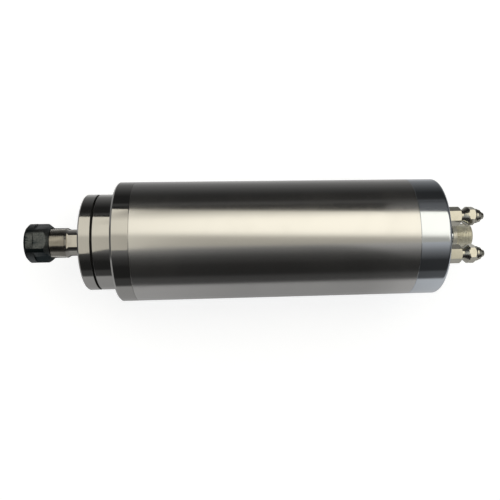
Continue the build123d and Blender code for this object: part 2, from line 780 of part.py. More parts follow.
save("front_end_cap", front_end_cap())
save("front_cap_screws", *[socket_screw(cap_screw_seat, -1, M4, cap_screw_len, y, z)
                           for y, z in cap_screw_places])
save("front_bearing_housing", front_bearing_housing())
save("front_flange_screws", *[socket_screw(flange_screw_seat, -1, M3, flange_screw_len, y, z)
                              for y, z in flange_screw_places])
save("body_tube", body_tube())
save("housing_seals", seal(front_seal_x, tube_bore_r - seal_r),
     seal(rear_seal_x, tube_bore_r - seal_r))
save("water_jacket", water_jacket())
save("jacket_seals", *[seal(x, tube_bore_r - seal_r) for x in jacket_seal_xs])
save("stator_core", stator_core())
save("stator_winding", stator_winding())
save("rear_bearing_housing", rear_bearing_housing())
save("rear_housing_screws", *[socket_screw(inner_screw_seat, 1, M4, inner_screw_len, y, z)
                              for y, z in inner_screw_places])
save("rear_cover", rear_cover())
save("rear_cover_screws", *[socket_screw(cover_screw_seat, 1, M4, cover_screw_len, y, z)
                            for y, z in cover_screw_places])
save("port_seals", port_seal(-1), port_seal(1))

for name, x, width, inner, outer in bearings:
    save(f"{name}_outer_ring", outer_ring(x, width, inner, outer))
    save(f"{name}_inner_ring", inner_ring(x, width, inner, outer))
    save(f"{name}_cage", ball_cage(x, width, inner, outer))
    save(f"{name}_balls", *balls(x, width, inner, outer))

spacer_xs = (front_stack_front + front_width, front_stack_rear - front_width)
save("front_outer_spacer", ring(*spacer_xs, cap_cavity_r, front_outer_r - seat))
save("front_inner_spacer", ring(*spacer_xs, thread_r + seat, front_collar_r - 0.4))
save("preload_spring", preload_spring())

save("spindle_shaft", spindle_shaft())
save("rotor_core", ring(stack_front, stack_rear, rotor_seat_r + seat, rotor_r))
save("rotor_end_rings", ring(stack_front - end_ring_len, stack_front, rotor_seat_r + 0.8, rotor_r - 0.4),
     ring(stack_rear, stack_rear + end_ring_len, rotor_seat_r + 0.8, rotor_r - 0.4))
save("front_lock_nut", front_lock_nut())
save("rear_lock_nut", rear_lock_nut())
save("collet", collet())
save("collet_nut", collet_nut())

for side, name in ((1, "water_inlet"), (-1, "water_outlet")):
    save(f"{name}_body", fitting_body(side))
    save(f"{name}_nut", union_nut(side))
save("fitting_washers", sealing_washer(-1), sealing_washer(1))

save("connector_gasket", connector_gasket())
save("connector_sleeve", connector_sleeve())
save("connector_sleeve_screws", *[socket_screw(sleeve_screw_seat, 1, M3, sleeve_screw_len, y, z)
                                  for y, z in sleeve_screw_places])
save("connector_shell", connector_shell())
save("connector_insert", connector_insert())
save("connector_contacts", *[contact(y, z) for y, z in contact_places])
save("lead_wires", *[lead_wire(hole, target) for hole, target in wire_ends()])

print("nose to nipple", round(nipple_start + nipple_len - nut_front, 1), "mm long")
for name, x, width, inner, outer in bearings:
    print(name, "cage ratio", round(cage_ratio(inner, outer), 4))
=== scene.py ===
# %% [markdown]
# This scene dresses a water-cooled motor spindle: a polished round body, a stepped nose with a
# collet nut on a threaded shaft, and water and power connections at the rear end. The first cell
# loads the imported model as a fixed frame. Every piece sits where the frame says, in metres, with
# +X along the axis from the nose to the rear and +Z on the side of the water fittings.

# %% Load the frame
import json
import math

import bpy
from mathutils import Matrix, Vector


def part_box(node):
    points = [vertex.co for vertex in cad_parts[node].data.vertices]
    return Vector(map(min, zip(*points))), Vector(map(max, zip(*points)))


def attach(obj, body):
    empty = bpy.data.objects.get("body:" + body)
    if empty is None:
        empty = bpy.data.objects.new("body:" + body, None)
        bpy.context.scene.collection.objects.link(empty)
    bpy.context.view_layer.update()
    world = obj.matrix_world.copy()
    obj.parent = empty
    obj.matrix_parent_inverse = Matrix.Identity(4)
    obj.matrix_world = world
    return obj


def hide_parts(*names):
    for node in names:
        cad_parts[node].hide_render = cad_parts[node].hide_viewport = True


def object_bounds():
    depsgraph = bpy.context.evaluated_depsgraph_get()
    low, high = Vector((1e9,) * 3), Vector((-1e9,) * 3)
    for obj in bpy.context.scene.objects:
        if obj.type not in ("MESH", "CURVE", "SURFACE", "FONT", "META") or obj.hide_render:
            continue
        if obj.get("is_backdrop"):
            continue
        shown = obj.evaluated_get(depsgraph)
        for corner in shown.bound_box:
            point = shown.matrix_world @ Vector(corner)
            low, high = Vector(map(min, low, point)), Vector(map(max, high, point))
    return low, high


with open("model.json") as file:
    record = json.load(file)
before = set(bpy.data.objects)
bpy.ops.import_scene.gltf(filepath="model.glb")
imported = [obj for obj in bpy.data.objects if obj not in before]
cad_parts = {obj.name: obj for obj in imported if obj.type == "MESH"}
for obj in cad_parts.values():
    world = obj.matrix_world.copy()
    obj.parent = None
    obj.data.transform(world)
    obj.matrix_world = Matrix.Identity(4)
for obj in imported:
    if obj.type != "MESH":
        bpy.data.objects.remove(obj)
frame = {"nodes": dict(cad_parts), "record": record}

cad_box = [list(corner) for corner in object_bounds()]
print("frame box", [[round(value, 4) for value in corner] for corner in cad_box])

# %% [markdown]
# The camera looks almost straight down on a spindle that lies on its side. A Blender camera at
# rest already looks down with +Y up in the picture, so it only leans a little along the axis and
# rolls by a degree. A small shift slides the picture sideways without turning the camera.

# %% Camera
CAMERA_PLACE = (-0.03194, -0.00975, 0.49113)
CAMERA_LEAN = math.radians(-4.645)
CAMERA_ROLL = math.radians(-1.179)
CAMERA_LENS = 40.98
CAMERA_SHIFT = -0.0664

bpy.ops.object.select_all(action="DESELECT")
bpy.ops.object.camera_add(location=CAMERA_PLACE)
camera = bpy.context.object
camera.rotation_mode = "ZYX"
camera.rotation_euler = (0, CAMERA_LEAN, CAMERA_ROLL)
camera.data.lens = CAMERA_LENS
camera.data.shift_x = CAMERA_SHIFT
camera.data.clip_start = 0.01
bpy.context.scene.camera = camera
bpy.context.scene.view_settings.view_transform = "Standard"
print("camera", CAMERA_PLACE[2], "m above the axis")

# %% [markdown]
# Materials are trees of nodes. The first helpers make a node and fill its inputs: an input gets a
# value, or a link when the value is another node's output. The others build on them. A ramp turns
# a value into a chosen curve, and a profile does so along a direction.

# %% Node helpers
X, Y, Z = (1, 0, 0), (0, 1, 0), (0, 0, 1)
WHITE = (1, 1, 1, 1)


def fill(tree, socket, value):
    """Sets an input, or links it when the value is another node's output."""
    if isinstance(value, bpy.types.NodeSocket):
        tree.links.new(value, socket)
    elif value is not None:
        socket.default_value = value


def fed(tree, made, *inputs, **settings):
    """Gives a node its settings and inputs by name, and then the inputs that come in order."""
    for name, value in settings.items():
        label = name.replace("_", " ")
        if label in made.inputs.keys():
            fill(tree, made.inputs[label], value)
        else:
            setattr(made, name, value)
    for socket, value in zip(made.inputs, inputs):
        fill(tree, socket, value)
    return made


def node(tree, kind, *inputs, **settings):
    return fed(tree, tree.nodes.new(kind), *inputs, **settings)


def calc(tree, operation, *inputs):
    return node(tree, "ShaderNodeMath", *inputs, operation=operation).outputs[0]


def mixed(tree, factor, first, second):
    """A number that goes from first to second as the factor goes from 0 to 1."""
    return node(tree, "ShaderNodeMix", factor, None, first, second).outputs[0]


def spot(tree):
    return node(tree, "ShaderNodeTexCoord").outputs["Object"]


def ramp(tree, source, stops):
    """Maps a 0 to 1 value through (position, grey) stops."""
    made = node(tree, "ShaderNodeValToRGB", source)
    while len(made.color_ramp.elements) < len(stops):
        made.color_ramp.elements.new(1.0)
    for element, (position, grey) in zip(made.color_ramp.elements, stops):
        element.position = position
        element.color = (grey, grey, grey, 1)
    return made.outputs[0]


def profile(tree, direction, stops):
    """A strength that follows (place in metres, strength) stops along a direction."""
    low, high = stops[0][0], stops[-1][0]
    along = node(tree, "ShaderNodeVectorMath", spot(tree), direction, operation="DOT_PRODUCT")
    share = node(tree, "ShaderNodeMapRange", along.outputs["Value"], low, high)
    return ramp(tree, share.outputs[0], [((at - low) / (high - low), grey) for at, grey in stops])


def empty_material(name):
    material = bpy.data.materials.new(name)
    material.use_nodes = True
    material.node_tree.nodes.clear()
    return material, material.node_tree


# %% [markdown]
# The spindle lies on a white table in a white room. Light Path's camera, glossy and transmission
# rays see both as white, and the table also keeps a true diffuse part, so the soft shadow stays.

# %% Room and table
BACKGROUND = 1.0
ROOM_LIGHT = 0.55
TABLE_HALF = 3.0
TABLE_COLOUR = (0.62, 0.64, 0.68, 1)
TABLE_GLOW = 0.64


def seen_directly(tree):
    """1 for rays from the camera and for mirrored and refracted ones, 0 for the others."""
    path = node(tree, "ShaderNodeLightPath").outputs
    first = calc(tree, "MAXIMUM", path["Is Camera Ray"], path["Is Glossy Ray"])
    return calc(tree, "MAXIMUM", first, path["Is Transmission Ray"])


room = bpy.data.worlds.new("room")
bpy.context.scene.world = room
room.use_nodes = True
tree = room.node_tree
tree.nodes.clear()
light = node(tree, "ShaderNodeBackground", Color=WHITE, Strength=ROOM_LIGHT).outputs[0]
backdrop = node(tree, "ShaderNodeBackground", Color=WHITE, Strength=BACKGROUND).outputs[0]
mix = node(tree, "ShaderNodeMixShader", seen_directly(tree), light, backdrop)
node(tree, "ShaderNodeOutputWorld", mix.outputs[0])

body_low, body_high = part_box("body_tube")
floor_z = body_low.z
bpy.ops.object.select_all(action="DESELECT")
bpy.ops.mesh.primitive_plane_add(size=2 * TABLE_HALF, location=(0, 0, floor_z))
table = bpy.context.object
table.name = "table"
table_top, tree = empty_material("white_table")
cloth = node(tree, "ShaderNodeBsdfDiffuse", Color=TABLE_COLOUR).outputs[0]
glow = node(tree, "ShaderNodeEmission", Color=WHITE,
            Strength=calc(tree, "MULTIPLY", seen_directly(tree), TABLE_GLOW)).outputs[0]
total = node(tree, "ShaderNodeAddShader", cloth, glow)
node(tree, "ShaderNodeOutputMaterial", total.outputs[0])
table.data.materials.append(table_top)
table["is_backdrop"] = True
print("table at", round(floor_z, 4))

# %% [markdown]
# Polished metal shows what stands around it, so the studio matters as much as the finish. One
# wide soft light hangs above and leans to the far side. Dark cards stand close on both sides, as
# a photographer sets them, and give the steel its dark bands. The camera doesn't see them.

# %% Studio sheets
REACH = 0.95
WIDE = (-REACH, REACH)


def emitting(name, make_strength, tint=(1, 1, 1)):
    """A cloth that emits with the strength that make_strength(tree) gives."""
    material, tree = empty_material(name)
    shade = node(tree, "ShaderNodeEmission", Color=(*tint, 1), Strength=make_strength(tree))
    node(tree, "ShaderNodeOutputMaterial", shade.outputs[0])
    return material


def graded(name, direction, stops):
    """A cloth whose strength follows (place, strength) stops along a direction."""
    return emitting(name, lambda tree: profile(tree, direction, stops))


def sheet(name, corners, material, lights=False):
    """A flat studio sheet through four corners. It is never in view, and lights only if asked."""
    bpy.ops.object.select_all(action="DESELECT")
    bpy.ops.mesh.primitive_plane_add(size=1)
    made = bpy.context.object
    made.name = made.data.name = name
    for vertex, corner in zip(made.data.vertices, (corners[0], corners[1], corners[3], corners[2])):
        vertex.co = corner
    made.data.update()
    made.data.materials.append(material)
    made.visible_camera = False
    if not lights:
        made.visible_diffuse = False
        made.visible_shadow = False
    made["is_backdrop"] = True
    return made


def upright(name, y, ends, foot, tops, material):
    """A sheet that stands along the spindle. Its two ends may differ in height."""
    (start, end), (start_top, end_top) = ends, tops
    return sheet(name, [(start, y, foot), (end, y, foot), (end, y, end_top),
                        (start, y, start_top)], material)


def flat(name, ends, sides, height, material, lights=False):
    """A sheet that lies flat at this height."""
    (start, end), (inner, outer) = ends, sides
    return sheet(name, [(start, inner, height), (end, inner, height), (end, outer, height),
                        (start, outer, height)], material, lights)


# %% [markdown]
# The soft light is brighter on its far part. The edge between the two parts runs a little askew
# to the spindle, as a hand-hung cloth does, and the light is warm.

# %% Soft light
LIGHT_HEIGHT = 0.60
LIGHT_FROM, LIGHT_TO = -0.50, 1.15
LIGHT_TINT = (1.0, 0.955, 0.83)
LIGHT_SKEW = (0.26, 1, 0)


def light_strength(tree):
    far_part = profile(tree, LIGHT_SKEW, [(0.0, 0), (0.035, 0.05), (0.10, 0.85), (0.17, 1)])
    dim = profile(tree, X, [(-0.30, 0.70), (-0.22, 0.60), (-0.12, 0.42), (0.30, 0.38)])
    bright = profile(tree, X, [(-0.30, 1.02), (-0.20, 1.08), (-0.05, 1.20), (0.30, 1.25)])
    # The far rim of the light fades over the tube, but not over the nose and the cover.
    middle = profile(tree, X, [(-0.34, 0), (-0.28, 1), (0.24, 1), (0.32, 0)])
    fading = profile(tree, Y, [(0.45, 1), (0.60, 0.74), (0.73, 0.55), (1.0, 0.25)])
    faded = mixed(tree, middle, 1.0, fading)
    return mixed(tree, far_part, dim, calc(tree, "MULTIPLY", bright, faded))


flat("soft_light", WIDE, (LIGHT_FROM, LIGHT_TO), LIGHT_HEIGHT,
     emitting("soft_light", light_strength, LIGHT_TINT), lights=True)

# %% [markdown]
# Each side card stands on the table a hand's width from the axis. Its strength follows its height,
# because polished steel repeats every band of it. The near card is lower beside the nut.

# %% Side cards
CARD_Y = 0.100
card_foot = floor_z + 0.0005
FAR_TOP = 0.1010               # height of the far card's edge at the middle
FAR_SLOPE = 0.129              # how much the edge climbs towards the rear
NEAR_STEPS = [(-REACH, -0.200, 0.215), (-0.200, -0.172, 0.36), (-0.172, REACH, 0.45)]
NEAR_SHARE = [(-0.20, 1.36), (-0.12, 1.20), (-0.04, 1.0), (0.09, 1.0), (0.16, 1.60), (0.30, 1.60)]


def near_side(name, direction, stops):
    """A cloth of the near side, which is brighter at both ends than along the middle."""
    return emitting(name, lambda tree: calc(
        tree, "MULTIPLY", profile(tree, direction, stops), profile(tree, X, NEAR_SHARE)))


far_card = graded("far_card", Z, [
    (-0.0495, 0.24), (-0.024, 0.16), (-0.0035, 0.10), (0.0125, 0.055), (0.030, 0.022),
    (0.058, 0.020), (0.062, 0.065), (0.068, 0.065), (0.073, 0.025), (0.20, 0.030)])
near_card = near_side("near_card", Z, [
    (-0.0495, 0.27), (0.027, 0.29), (0.033, 0.05), (0.058, 0.045), (0.064, 0.016),
    (0.115, 0.016), (0.137, 0.028), (0.165, 0.038), (0.195, 0.055), (0.243, 0.10),
    (0.317, 0.14), (0.45, 0.26)])
upright("far_card", CARD_Y, WIDE, card_foot,
        (FAR_TOP - FAR_SLOPE * REACH, FAR_TOP + FAR_SLOPE * REACH), far_card)
for number, (start, end, top) in enumerate(NEAR_STEPS):
    upright(f"near_card_{number}", -CARD_Y, (start, end), card_foot, (top, top), near_card)
print("side cards", 1 + len(NEAR_STEPS))

# %% [markdown]
# Two more small cards face the rear cover: one at the far side puts a grey band above the light's
# edge, and one at the near side fades slowly below it. Two strips on the table take the glare out
# of the steel's outline.

# %% Small cards and table strips
STRIP_Y = 0.050
CARD_GAP = 0.001

upright("rear_card", CARD_Y - CARD_GAP, (0.112, 0.40), 0.072, (0.118, 0.128),
        graded("rear_card", Z, [(0.072, 0.09), (0.12, 0.125)]))
upright("tail_side", CARD_GAP - CARD_Y, (0.135, REACH), 0.12, (0.45, 0.45),
        graded("tail_side", Z, [(0.12, 0.035), (0.16, 0.10), (0.20, 0.16), (0.25, 0.25),
                                (0.32, 0.33), (0.45, 0.40)]))
flat("far_strip", WIDE, (STRIP_Y, CARD_Y), card_foot,
     graded("far_strip", Y, [(0.050, 0.66), (0.075, 0.46), (0.100, 0.24)]))
flat("near_strip", WIDE, (-STRIP_Y, -CARD_Y), card_foot,
     near_side("near_strip", Y, [(-0.100, 0.27), (-0.050, 0.30)]))
print("rear card, tail side and two strips")

# %% [markdown]
# Chamfers and rims turn away from the light and look along the axis instead. A grey card stands
# off each end for them, and a dark mat lies under the nose and one under the fittings.

# %% End cards and mats
END_CARDS = {"nose_card": -0.45, "tail_card": 0.50}
END_HALF, END_TOP = 0.4, 0.35
MATS = {"nose_mat": (-0.449, -0.157, 0.05), "tail_mat": (0.143, 0.499, 0.08)}
MAT_GAP = 0.0002

for name, x in END_CARDS.items():
    sheet(name, [(x, -END_HALF, card_foot), (x, END_HALF, card_foot), (x, END_HALF, END_TOP),
                 (x, -END_HALF, END_TOP)], graded(name, Z, [(-0.05, 0.10), (0.35, 0.35)]))
for name, (start, end, strength) in MATS.items():
    flat(name, (start, end), (-STRIP_Y, STRIP_Y), card_foot + MAT_GAP,
         graded(name, X, [(start, strength), (end, strength)]))
print("studio: a soft light, side cards, table strips, end cards and mats")

# %% [markdown]
# Every metal here was cut on a lathe or a milling machine, so three effects come back in nearly
# all of them: fine lines that run round the axis, faint marks from handling, and edges where the
# finish has rubbed bright. Each is a node group, built once and placed with its own values.

# %% Lathe lines
def new_group(name, output, **inputs):
    """A node group with these numbers as inputs, and the sockets that carry them inside it."""
    group = bpy.data.node_groups.new(name, "ShaderNodeTree")
    for label, value in inputs.items():
        socket = group.interface.new_socket(label.replace("_", " "), in_out="INPUT",
                                            socket_type="NodeSocketFloat")
        socket.default_value = value
    group.interface.new_socket(output, in_out="OUTPUT", socket_type="NodeSocketFloat")
    return group, node(group, "NodeGroupInput").outputs


# The noise changes fast along X and slowly round it.
LATHE_LINES, given = new_group("lathe_lines", "Lines", Lines_per_metre=4000, Waviness=12)
scale = node(LATHE_LINES, "ShaderNodeCombineXYZ", given["Lines per metre"], given["Waviness"],
             given["Waviness"])
stretch = node(LATHE_LINES, "ShaderNodeVectorMath", spot(LATHE_LINES), scale.outputs[0],
               operation="MULTIPLY")
noise = node(LATHE_LINES, "ShaderNodeTexNoise", Vector=stretch.outputs[0], Scale=1.0,
             Detail=3.0, Roughness=0.6)
node(LATHE_LINES, "NodeGroupOutput", noise.outputs["Fac"])
print("group", LATHE_LINES.name)

# %% [markdown]
# Handling leaves soft patches that are a little duller, and edges rub bright. Pointiness says how
# sharp an edge is, and noise breaks the wear up, because no edge wears evenly.

# %% Handling marks and edge wear
HANDLING, given = new_group("handling_marks", "Marks", Size=25, Amount=0.5)
noise = node(HANDLING, "ShaderNodeTexNoise", Vector=spot(HANDLING), Scale=given["Size"],
             Detail=5.0, Roughness=0.55, Distortion=0.6)
patches = node(HANDLING, "ShaderNodeMapRange", noise.outputs["Fac"], 0.45, 0.72)
node(HANDLING, "NodeGroupOutput",
     calc(HANDLING, "MULTIPLY", patches.outputs[0], given["Amount"]))

EDGE_WEAR, given = new_group("edge_wear", "Wear", From=0.52, To=0.60)
pointed = node(EDGE_WEAR, "ShaderNodeNewGeometry").outputs["Pointiness"]
edges = node(EDGE_WEAR, "ShaderNodeMapRange", pointed, given["From"], given["To"])
noise = node(EDGE_WEAR, "ShaderNodeTexNoise", Vector=spot(EDGE_WEAR), Scale=700.0, Detail=3.0)
node(EDGE_WEAR, "NodeGroupOutput",
     calc(EDGE_WEAR, "MULTIPLY", edges.outputs[0], noise.outputs["Fac"]))
print("finish groups", len(bpy.data.node_groups))

# %% [markdown]
# Each material starts as a plain Principled shader. One helper maps a value to a range, and one
# mixes two colours.

# %% Helpers for finishes
BUMP_DEPTH = 0.0002


def ranged(tree, source, low, high):
    """Maps a 0 to 1 value to the range low to high."""
    return node(tree, "ShaderNodeMapRange", source, To_Min=low, To_Max=high).outputs[0]


def blended(tree, factor, first, second):
    """A colour mix, where first and second are plain colours or outputs of other nodes."""
    ends = [(*end, 1) if isinstance(end, tuple) else end for end in (first, second)]
    return node(tree, "ShaderNodeMix", factor, *[None] * 5, *ends, data_type="RGBA").outputs[2]


def new_finish(name):
    material = bpy.data.materials.new(name)
    material.use_nodes = True
    return material, material.node_tree, material.node_tree.nodes["Principled BSDF"]


# %% [markdown]
# A metal starts from one colour and adds what its tool left behind, by placing the groups with its
# own values. The lines vary the roughness and give a slight bump, the marks dull the gloss and the
# colour, and worn edges show bare metal.

# %% Helper for metals
MARK_ROUGH = 0.10


def metal(name, colour, dulled, rough, lines=4000, bump=0.02, marks=0.5, mark_size=25,
          waviness=12, worn=None, metallic=1.0):
    """A worked metal. rough is the roughness in the valleys and on the crests of its lines."""
    material, tree, shader = new_finish(name)
    cut = node(tree, "ShaderNodeGroup", node_tree=LATHE_LINES, Lines_per_metre=lines,
               Waviness=waviness).outputs[0]
    hand = node(tree, "ShaderNodeGroup", node_tree=HANDLING, Size=mark_size,
                Amount=marks).outputs[0]
    tint = blended(tree, hand, colour, dulled)
    if worn:
        wear = node(tree, "ShaderNodeGroup", node_tree=EDGE_WEAR).outputs[0]
        tint = blended(tree, wear, tint, worn)
    relief = node(tree, "ShaderNodeBump", Strength=bump, Distance=BUMP_DEPTH, Height=cut)
    gloss = calc(tree, "MULTIPLY_ADD", hand, MARK_ROUGH, ranged(tree, cut, *rough))
    fed(tree, shader, Metallic=metallic, Base_Color=tint, Roughness=gloss,
        Normal=relief.outputs[0])
    return material


# %% [markdown]
# What is moulded or poured has a fine grain in the place of the lines.

# %% Helper for moulded materials
def moulded(name, colour, second, rough, grain=400, bump=0.15):
    """A plastic, rubber or varnish: two close colours in a grain, and a matching bump."""
    material, tree, shader = new_finish(name)
    noise = node(tree, "ShaderNodeTexNoise", Vector=spot(tree), Scale=grain, Detail=4.0)
    grey = noise.outputs["Fac"]
    relief = node(tree, "ShaderNodeBump", Strength=bump, Distance=BUMP_DEPTH, Height=grey)
    fed(tree, shader, Base_Color=blended(tree, grey, colour, second),
        Roughness=ranged(tree, grey, *rough), Normal=relief.outputs[0])
    return material


# %% [markdown]
# The visible metals. The tube is polished stainless steel, a little hazy from wiping. The nose
# parts are the same steel with a finer face, so that they mirror sharply but darker. The rear
# cover is bright turned aluminium with a cool cast, the nut is blackened, and the fittings and
# the plug barrel are nickel plated, the barrel matt.

# %% Visible metals
TUBE_STEEL = metal("polished_tube", (0.785, 0.775, 0.755), (0.73, 0.72, 0.70), (0.16, 0.23),
                   lines=2500, bump=0.03, mark_size=18)
NOSE_STEEL = metal("turned_nose", (0.575, 0.565, 0.545), (0.53, 0.52, 0.50), (0.06, 0.12),
                   lines=5000, bump=0.015, marks=0.4, mark_size=30)
COVER_ALUMINIUM = metal("bright_aluminium", (0.81, 0.86, 0.92), (0.76, 0.81, 0.87), (0.08, 0.14),
                        marks=0.4, mark_size=30)
SHAFT_STEEL = metal("ground_shaft", (0.56, 0.54, 0.50), (0.42, 0.40, 0.37), (0.09, 0.17),
                    lines=6000, marks=0.6, mark_size=120)
COLLET_STEEL = metal("collet_steel", (0.62, 0.61, 0.59), (0.50, 0.49, 0.46), (0.15, 0.25),
                     lines=6000, marks=0.4, mark_size=150)
NUT_BLACK = metal("black_nut", (0.022, 0.032, 0.035), (0.016, 0.023, 0.025), (0.34, 0.46),
                  lines=5000, bump=0.04, marks=0.8, mark_size=90, worn=(0.20, 0.21, 0.21))
NICKEL = metal("nickel_plate", (0.62, 0.60, 0.52), (0.52, 0.50, 0.43), (0.07, 0.13),
               lines=5000, marks=0.6, mark_size=160)
MATT_NICKEL = metal("matt_nickel", (0.90, 0.88, 0.77), (0.78, 0.75, 0.64), (0.28, 0.38),
                    lines=5000, marks=0.6, mark_size=120, metallic=0.65)
BLACK_SCREW = metal("black_screw", (0.06, 0.06, 0.065), (0.04, 0.04, 0.045), (0.28, 0.40),
                    lines=8000, marks=0.6, mark_size=300, worn=(0.30, 0.30, 0.30))
ZINC_SCREW = metal("zinc_screw", (0.62, 0.63, 0.66), (0.52, 0.53, 0.55), (0.22, 0.34),
                   lines=8000, marks=0.6, mark_size=300)
GOLD = metal("gold_plate", (0.86, 0.66, 0.32), (0.75, 0.55, 0.26), (0.12, 0.20),
             lines=8000, marks=0.4, mark_size=400)
COPPER = metal("copper_washer", (0.72, 0.38, 0.22), (0.52, 0.26, 0.15), (0.25, 0.40),
               lines=6000, marks=0.7, mark_size=200)
print("visible metals", len(bpy.data.materials))

# %% [markdown]
# Inside the body the metals are plainer and rougher, because nobody sees them. The stacked sheets
# of rotor and stator show as straight lines, so their lines don't waver and have a deep bump.

# %% Inner metals
INNER_ALUMINIUM = metal("milled_aluminium", (0.72, 0.73, 0.74), (0.60, 0.61, 0.62), (0.25, 0.40),
                        lines=1500, mark_size=40)
INNER_STEEL = metal("milled_steel", (0.50, 0.49, 0.47), (0.40, 0.39, 0.37), (0.30, 0.42),
                    lines=1800, mark_size=50)
BEARING_STEEL = metal("bearing_steel", (0.72, 0.72, 0.71), (0.62, 0.62, 0.60), (0.08, 0.14),
                      lines=9000, marks=0.3, mark_size=150)
LAMINATION = metal("laminated_steel", (0.26, 0.26, 0.28), (0.18, 0.18, 0.19), (0.45, 0.60),
                   lines=2000, bump=0.4, mark_size=60, waviness=0)

# %% [markdown]
# Rubber, plastic and the varnish on the winding are moulded or poured. Their grain is fine, and
# the varnish has the deepest, from the wires under it.

# %% Rubber, plastic and varnish
RUBBER = moulded("seal_rubber", (0.018, 0.018, 0.018), (0.032, 0.032, 0.031), (0.50, 0.70), 900)
INSULATOR = moulded("insulator", (0.055, 0.045, 0.040), (0.035, 0.028, 0.025), (0.35, 0.50), 600)
VARNISH = moulded("winding_varnish", (0.45, 0.17, 0.07), (0.30, 0.10, 0.04), (0.25, 0.45), 350, 0.6)
LEAD = moulded("lead_sleeve", (0.72, 0.70, 0.64), (0.62, 0.60, 0.54), (0.50, 0.65), 500)
CAGE = moulded("cage_resin", (0.42, 0.26, 0.13), (0.32, 0.19, 0.09), (0.40, 0.55), 700, 0.3)
print("all finishes", len(bpy.data.materials))

# %% [markdown]
# A lathe makes a part by turning it against a tool, and Blender's spin does the same: it turns a
# half outline round the axis. The helper draws the outline as by hand, from one vertex that is
# extruded from corner to corner, and spins it a full turn.

# %% Turning
MM = 0.001
FINE, GOOD, MEDIUM, FAIR, SMALL, TINY = 256, 192, 128, 96, 64, 32    # steps round a shape
MERGE = 1e-6


def nothing_selected():
    bpy.ops.object.select_all(action="DESELECT")


def only(piece):
    nothing_selected()
    piece.select_set(True)
    bpy.context.view_layer.objects.active = piece


def merge(gap=MERGE):
    """In edit mode: merges doubled vertices and leaves everything selected."""
    bpy.ops.mesh.select_all(action="SELECT")
    bpy.ops.mesh.remove_doubles(threshold=gap)
    bpy.ops.mesh.select_all(action="SELECT")


def close_up():
    """Merges doubled vertices, turns all faces outwards and leaves edit mode."""
    merge()
    bpy.ops.mesh.normals_make_consistent(inside=False)
    bpy.ops.object.mode_set(mode="OBJECT")


def drawn(name, corners):
    """A line through these (x, r) corners, in millimetres, left in edit mode."""
    nothing_selected()
    x, r = corners[0]
    bpy.ops.mesh.primitive_plane_add(size=MM, location=(x * MM, 0, r * MM))
    piece = bpy.context.object
    piece.name = piece.data.name = name
    bpy.ops.object.transform_apply(location=True, rotation=True, scale=True)
    bpy.ops.object.mode_set(mode="EDIT")
    bpy.ops.mesh.select_all(action="SELECT")
    bpy.ops.mesh.merge(type="CENTER")
    for next_x, next_r in corners[1:]:
        move = ((next_x - x) * MM, 0, (next_r - r) * MM)
        bpy.ops.mesh.extrude_vertices_move(TRANSFORM_OT_translate={"value": move})
        x, r = next_x, next_r
    return piece


def turned(name, corners, steps=FINE):
    """A turned piece. An outline that starts and ends on the axis is solid, others are rings."""
    solid = corners[0][1] == 0 and corners[-1][1] == 0
    piece = drawn(name, corners if solid else [*corners, corners[0]])
    merge()
    bpy.ops.mesh.spin(steps=steps, angle=2 * math.pi, center=(0, 0, 0), axis=X)
    close_up()
    return piece


# %% [markdown]
# Screw holes, slits and hexagons come after turning, as they do in a workshop. A boolean modifier
# subtracts, keeps or adds a tool shape.

# %% Milling
def combine(piece, tool, operation="DIFFERENCE"):
    """Applies a boolean with the tool, which is used up."""
    modifier = piece.modifiers.new("combine", "BOOLEAN")
    modifier.operation = operation
    modifier.solver = "EXACT"
    modifier.object = tool
    only(piece)
    bpy.ops.object.modifier_apply(modifier=modifier.name)
    bpy.data.objects.remove(tool)
    return piece


def cleaned(piece):
    """Merges the slivers that a boolean leaves where two turned shapes almost meet."""
    only(piece)
    bpy.ops.object.mode_set(mode="EDIT")
    merge(2 * MERGE)
    bpy.ops.mesh.dissolve_degenerate(threshold=2 * MERGE)
    bpy.ops.object.mode_set(mode="OBJECT")
    return piece


# %% [markdown]
# Pieces and tools are made on the axis and then moved. What repeats is modelled once and copied,
# and each copy has a mesh of its own.

# %% Moving and copying
def moved(piece, x=0.0, y=0.0, z=0.0, turn=0.0):
    """Turns a piece about the X axis, from +Z towards +Y, then moves it by millimetres."""
    only(piece)
    piece.rotation_euler = (-math.radians(turn), 0, 0)
    piece.location = (x * MM, y * MM, z * MM)
    bpy.ops.object.transform_apply(location=True, rotation=True, scale=True)
    return piece


def copied(piece, y, z):
    """A copy of a piece, moved to this y and z in millimetres."""
    only(piece)
    bpy.ops.object.duplicate(linked=False)
    return moved(bpy.context.object, y=y, z=z)


def copies(piece, places):
    """Copies a piece to these (y, z) places, joins the copies and removes the first one."""
    made = [copied(piece, y, z) for y, z in places]
    bpy.data.objects.remove(piece)
    only(made[0])
    for copy in made:
        copy.select_set(True)
    bpy.ops.object.join()
    return made[0]


def place(angle, r):
    """The y and z of a point at an angle counted from +Z towards +Y."""
    return r * math.sin(math.radians(angle)), r * math.cos(math.radians(angle))


# %% [markdown]
# The tools for milling are a box, a hexagonal bar and a plain drill, all along the X axis.

# %% Cutting tools
def block(x0, x1, y_size, z_size, z_middle):
    """A milling cutter's path: a box from x0 to x1, centred across at this height."""
    nothing_selected()
    bpy.ops.mesh.primitive_cube_add(size=MM)
    cutter = bpy.context.object
    cutter.scale = (x1 - x0, y_size, z_size)
    cutter.location = ((x0 + x1) / 2 * MM, 0, z_middle * MM)
    bpy.ops.object.transform_apply(location=True, rotation=True, scale=True)
    return cutter


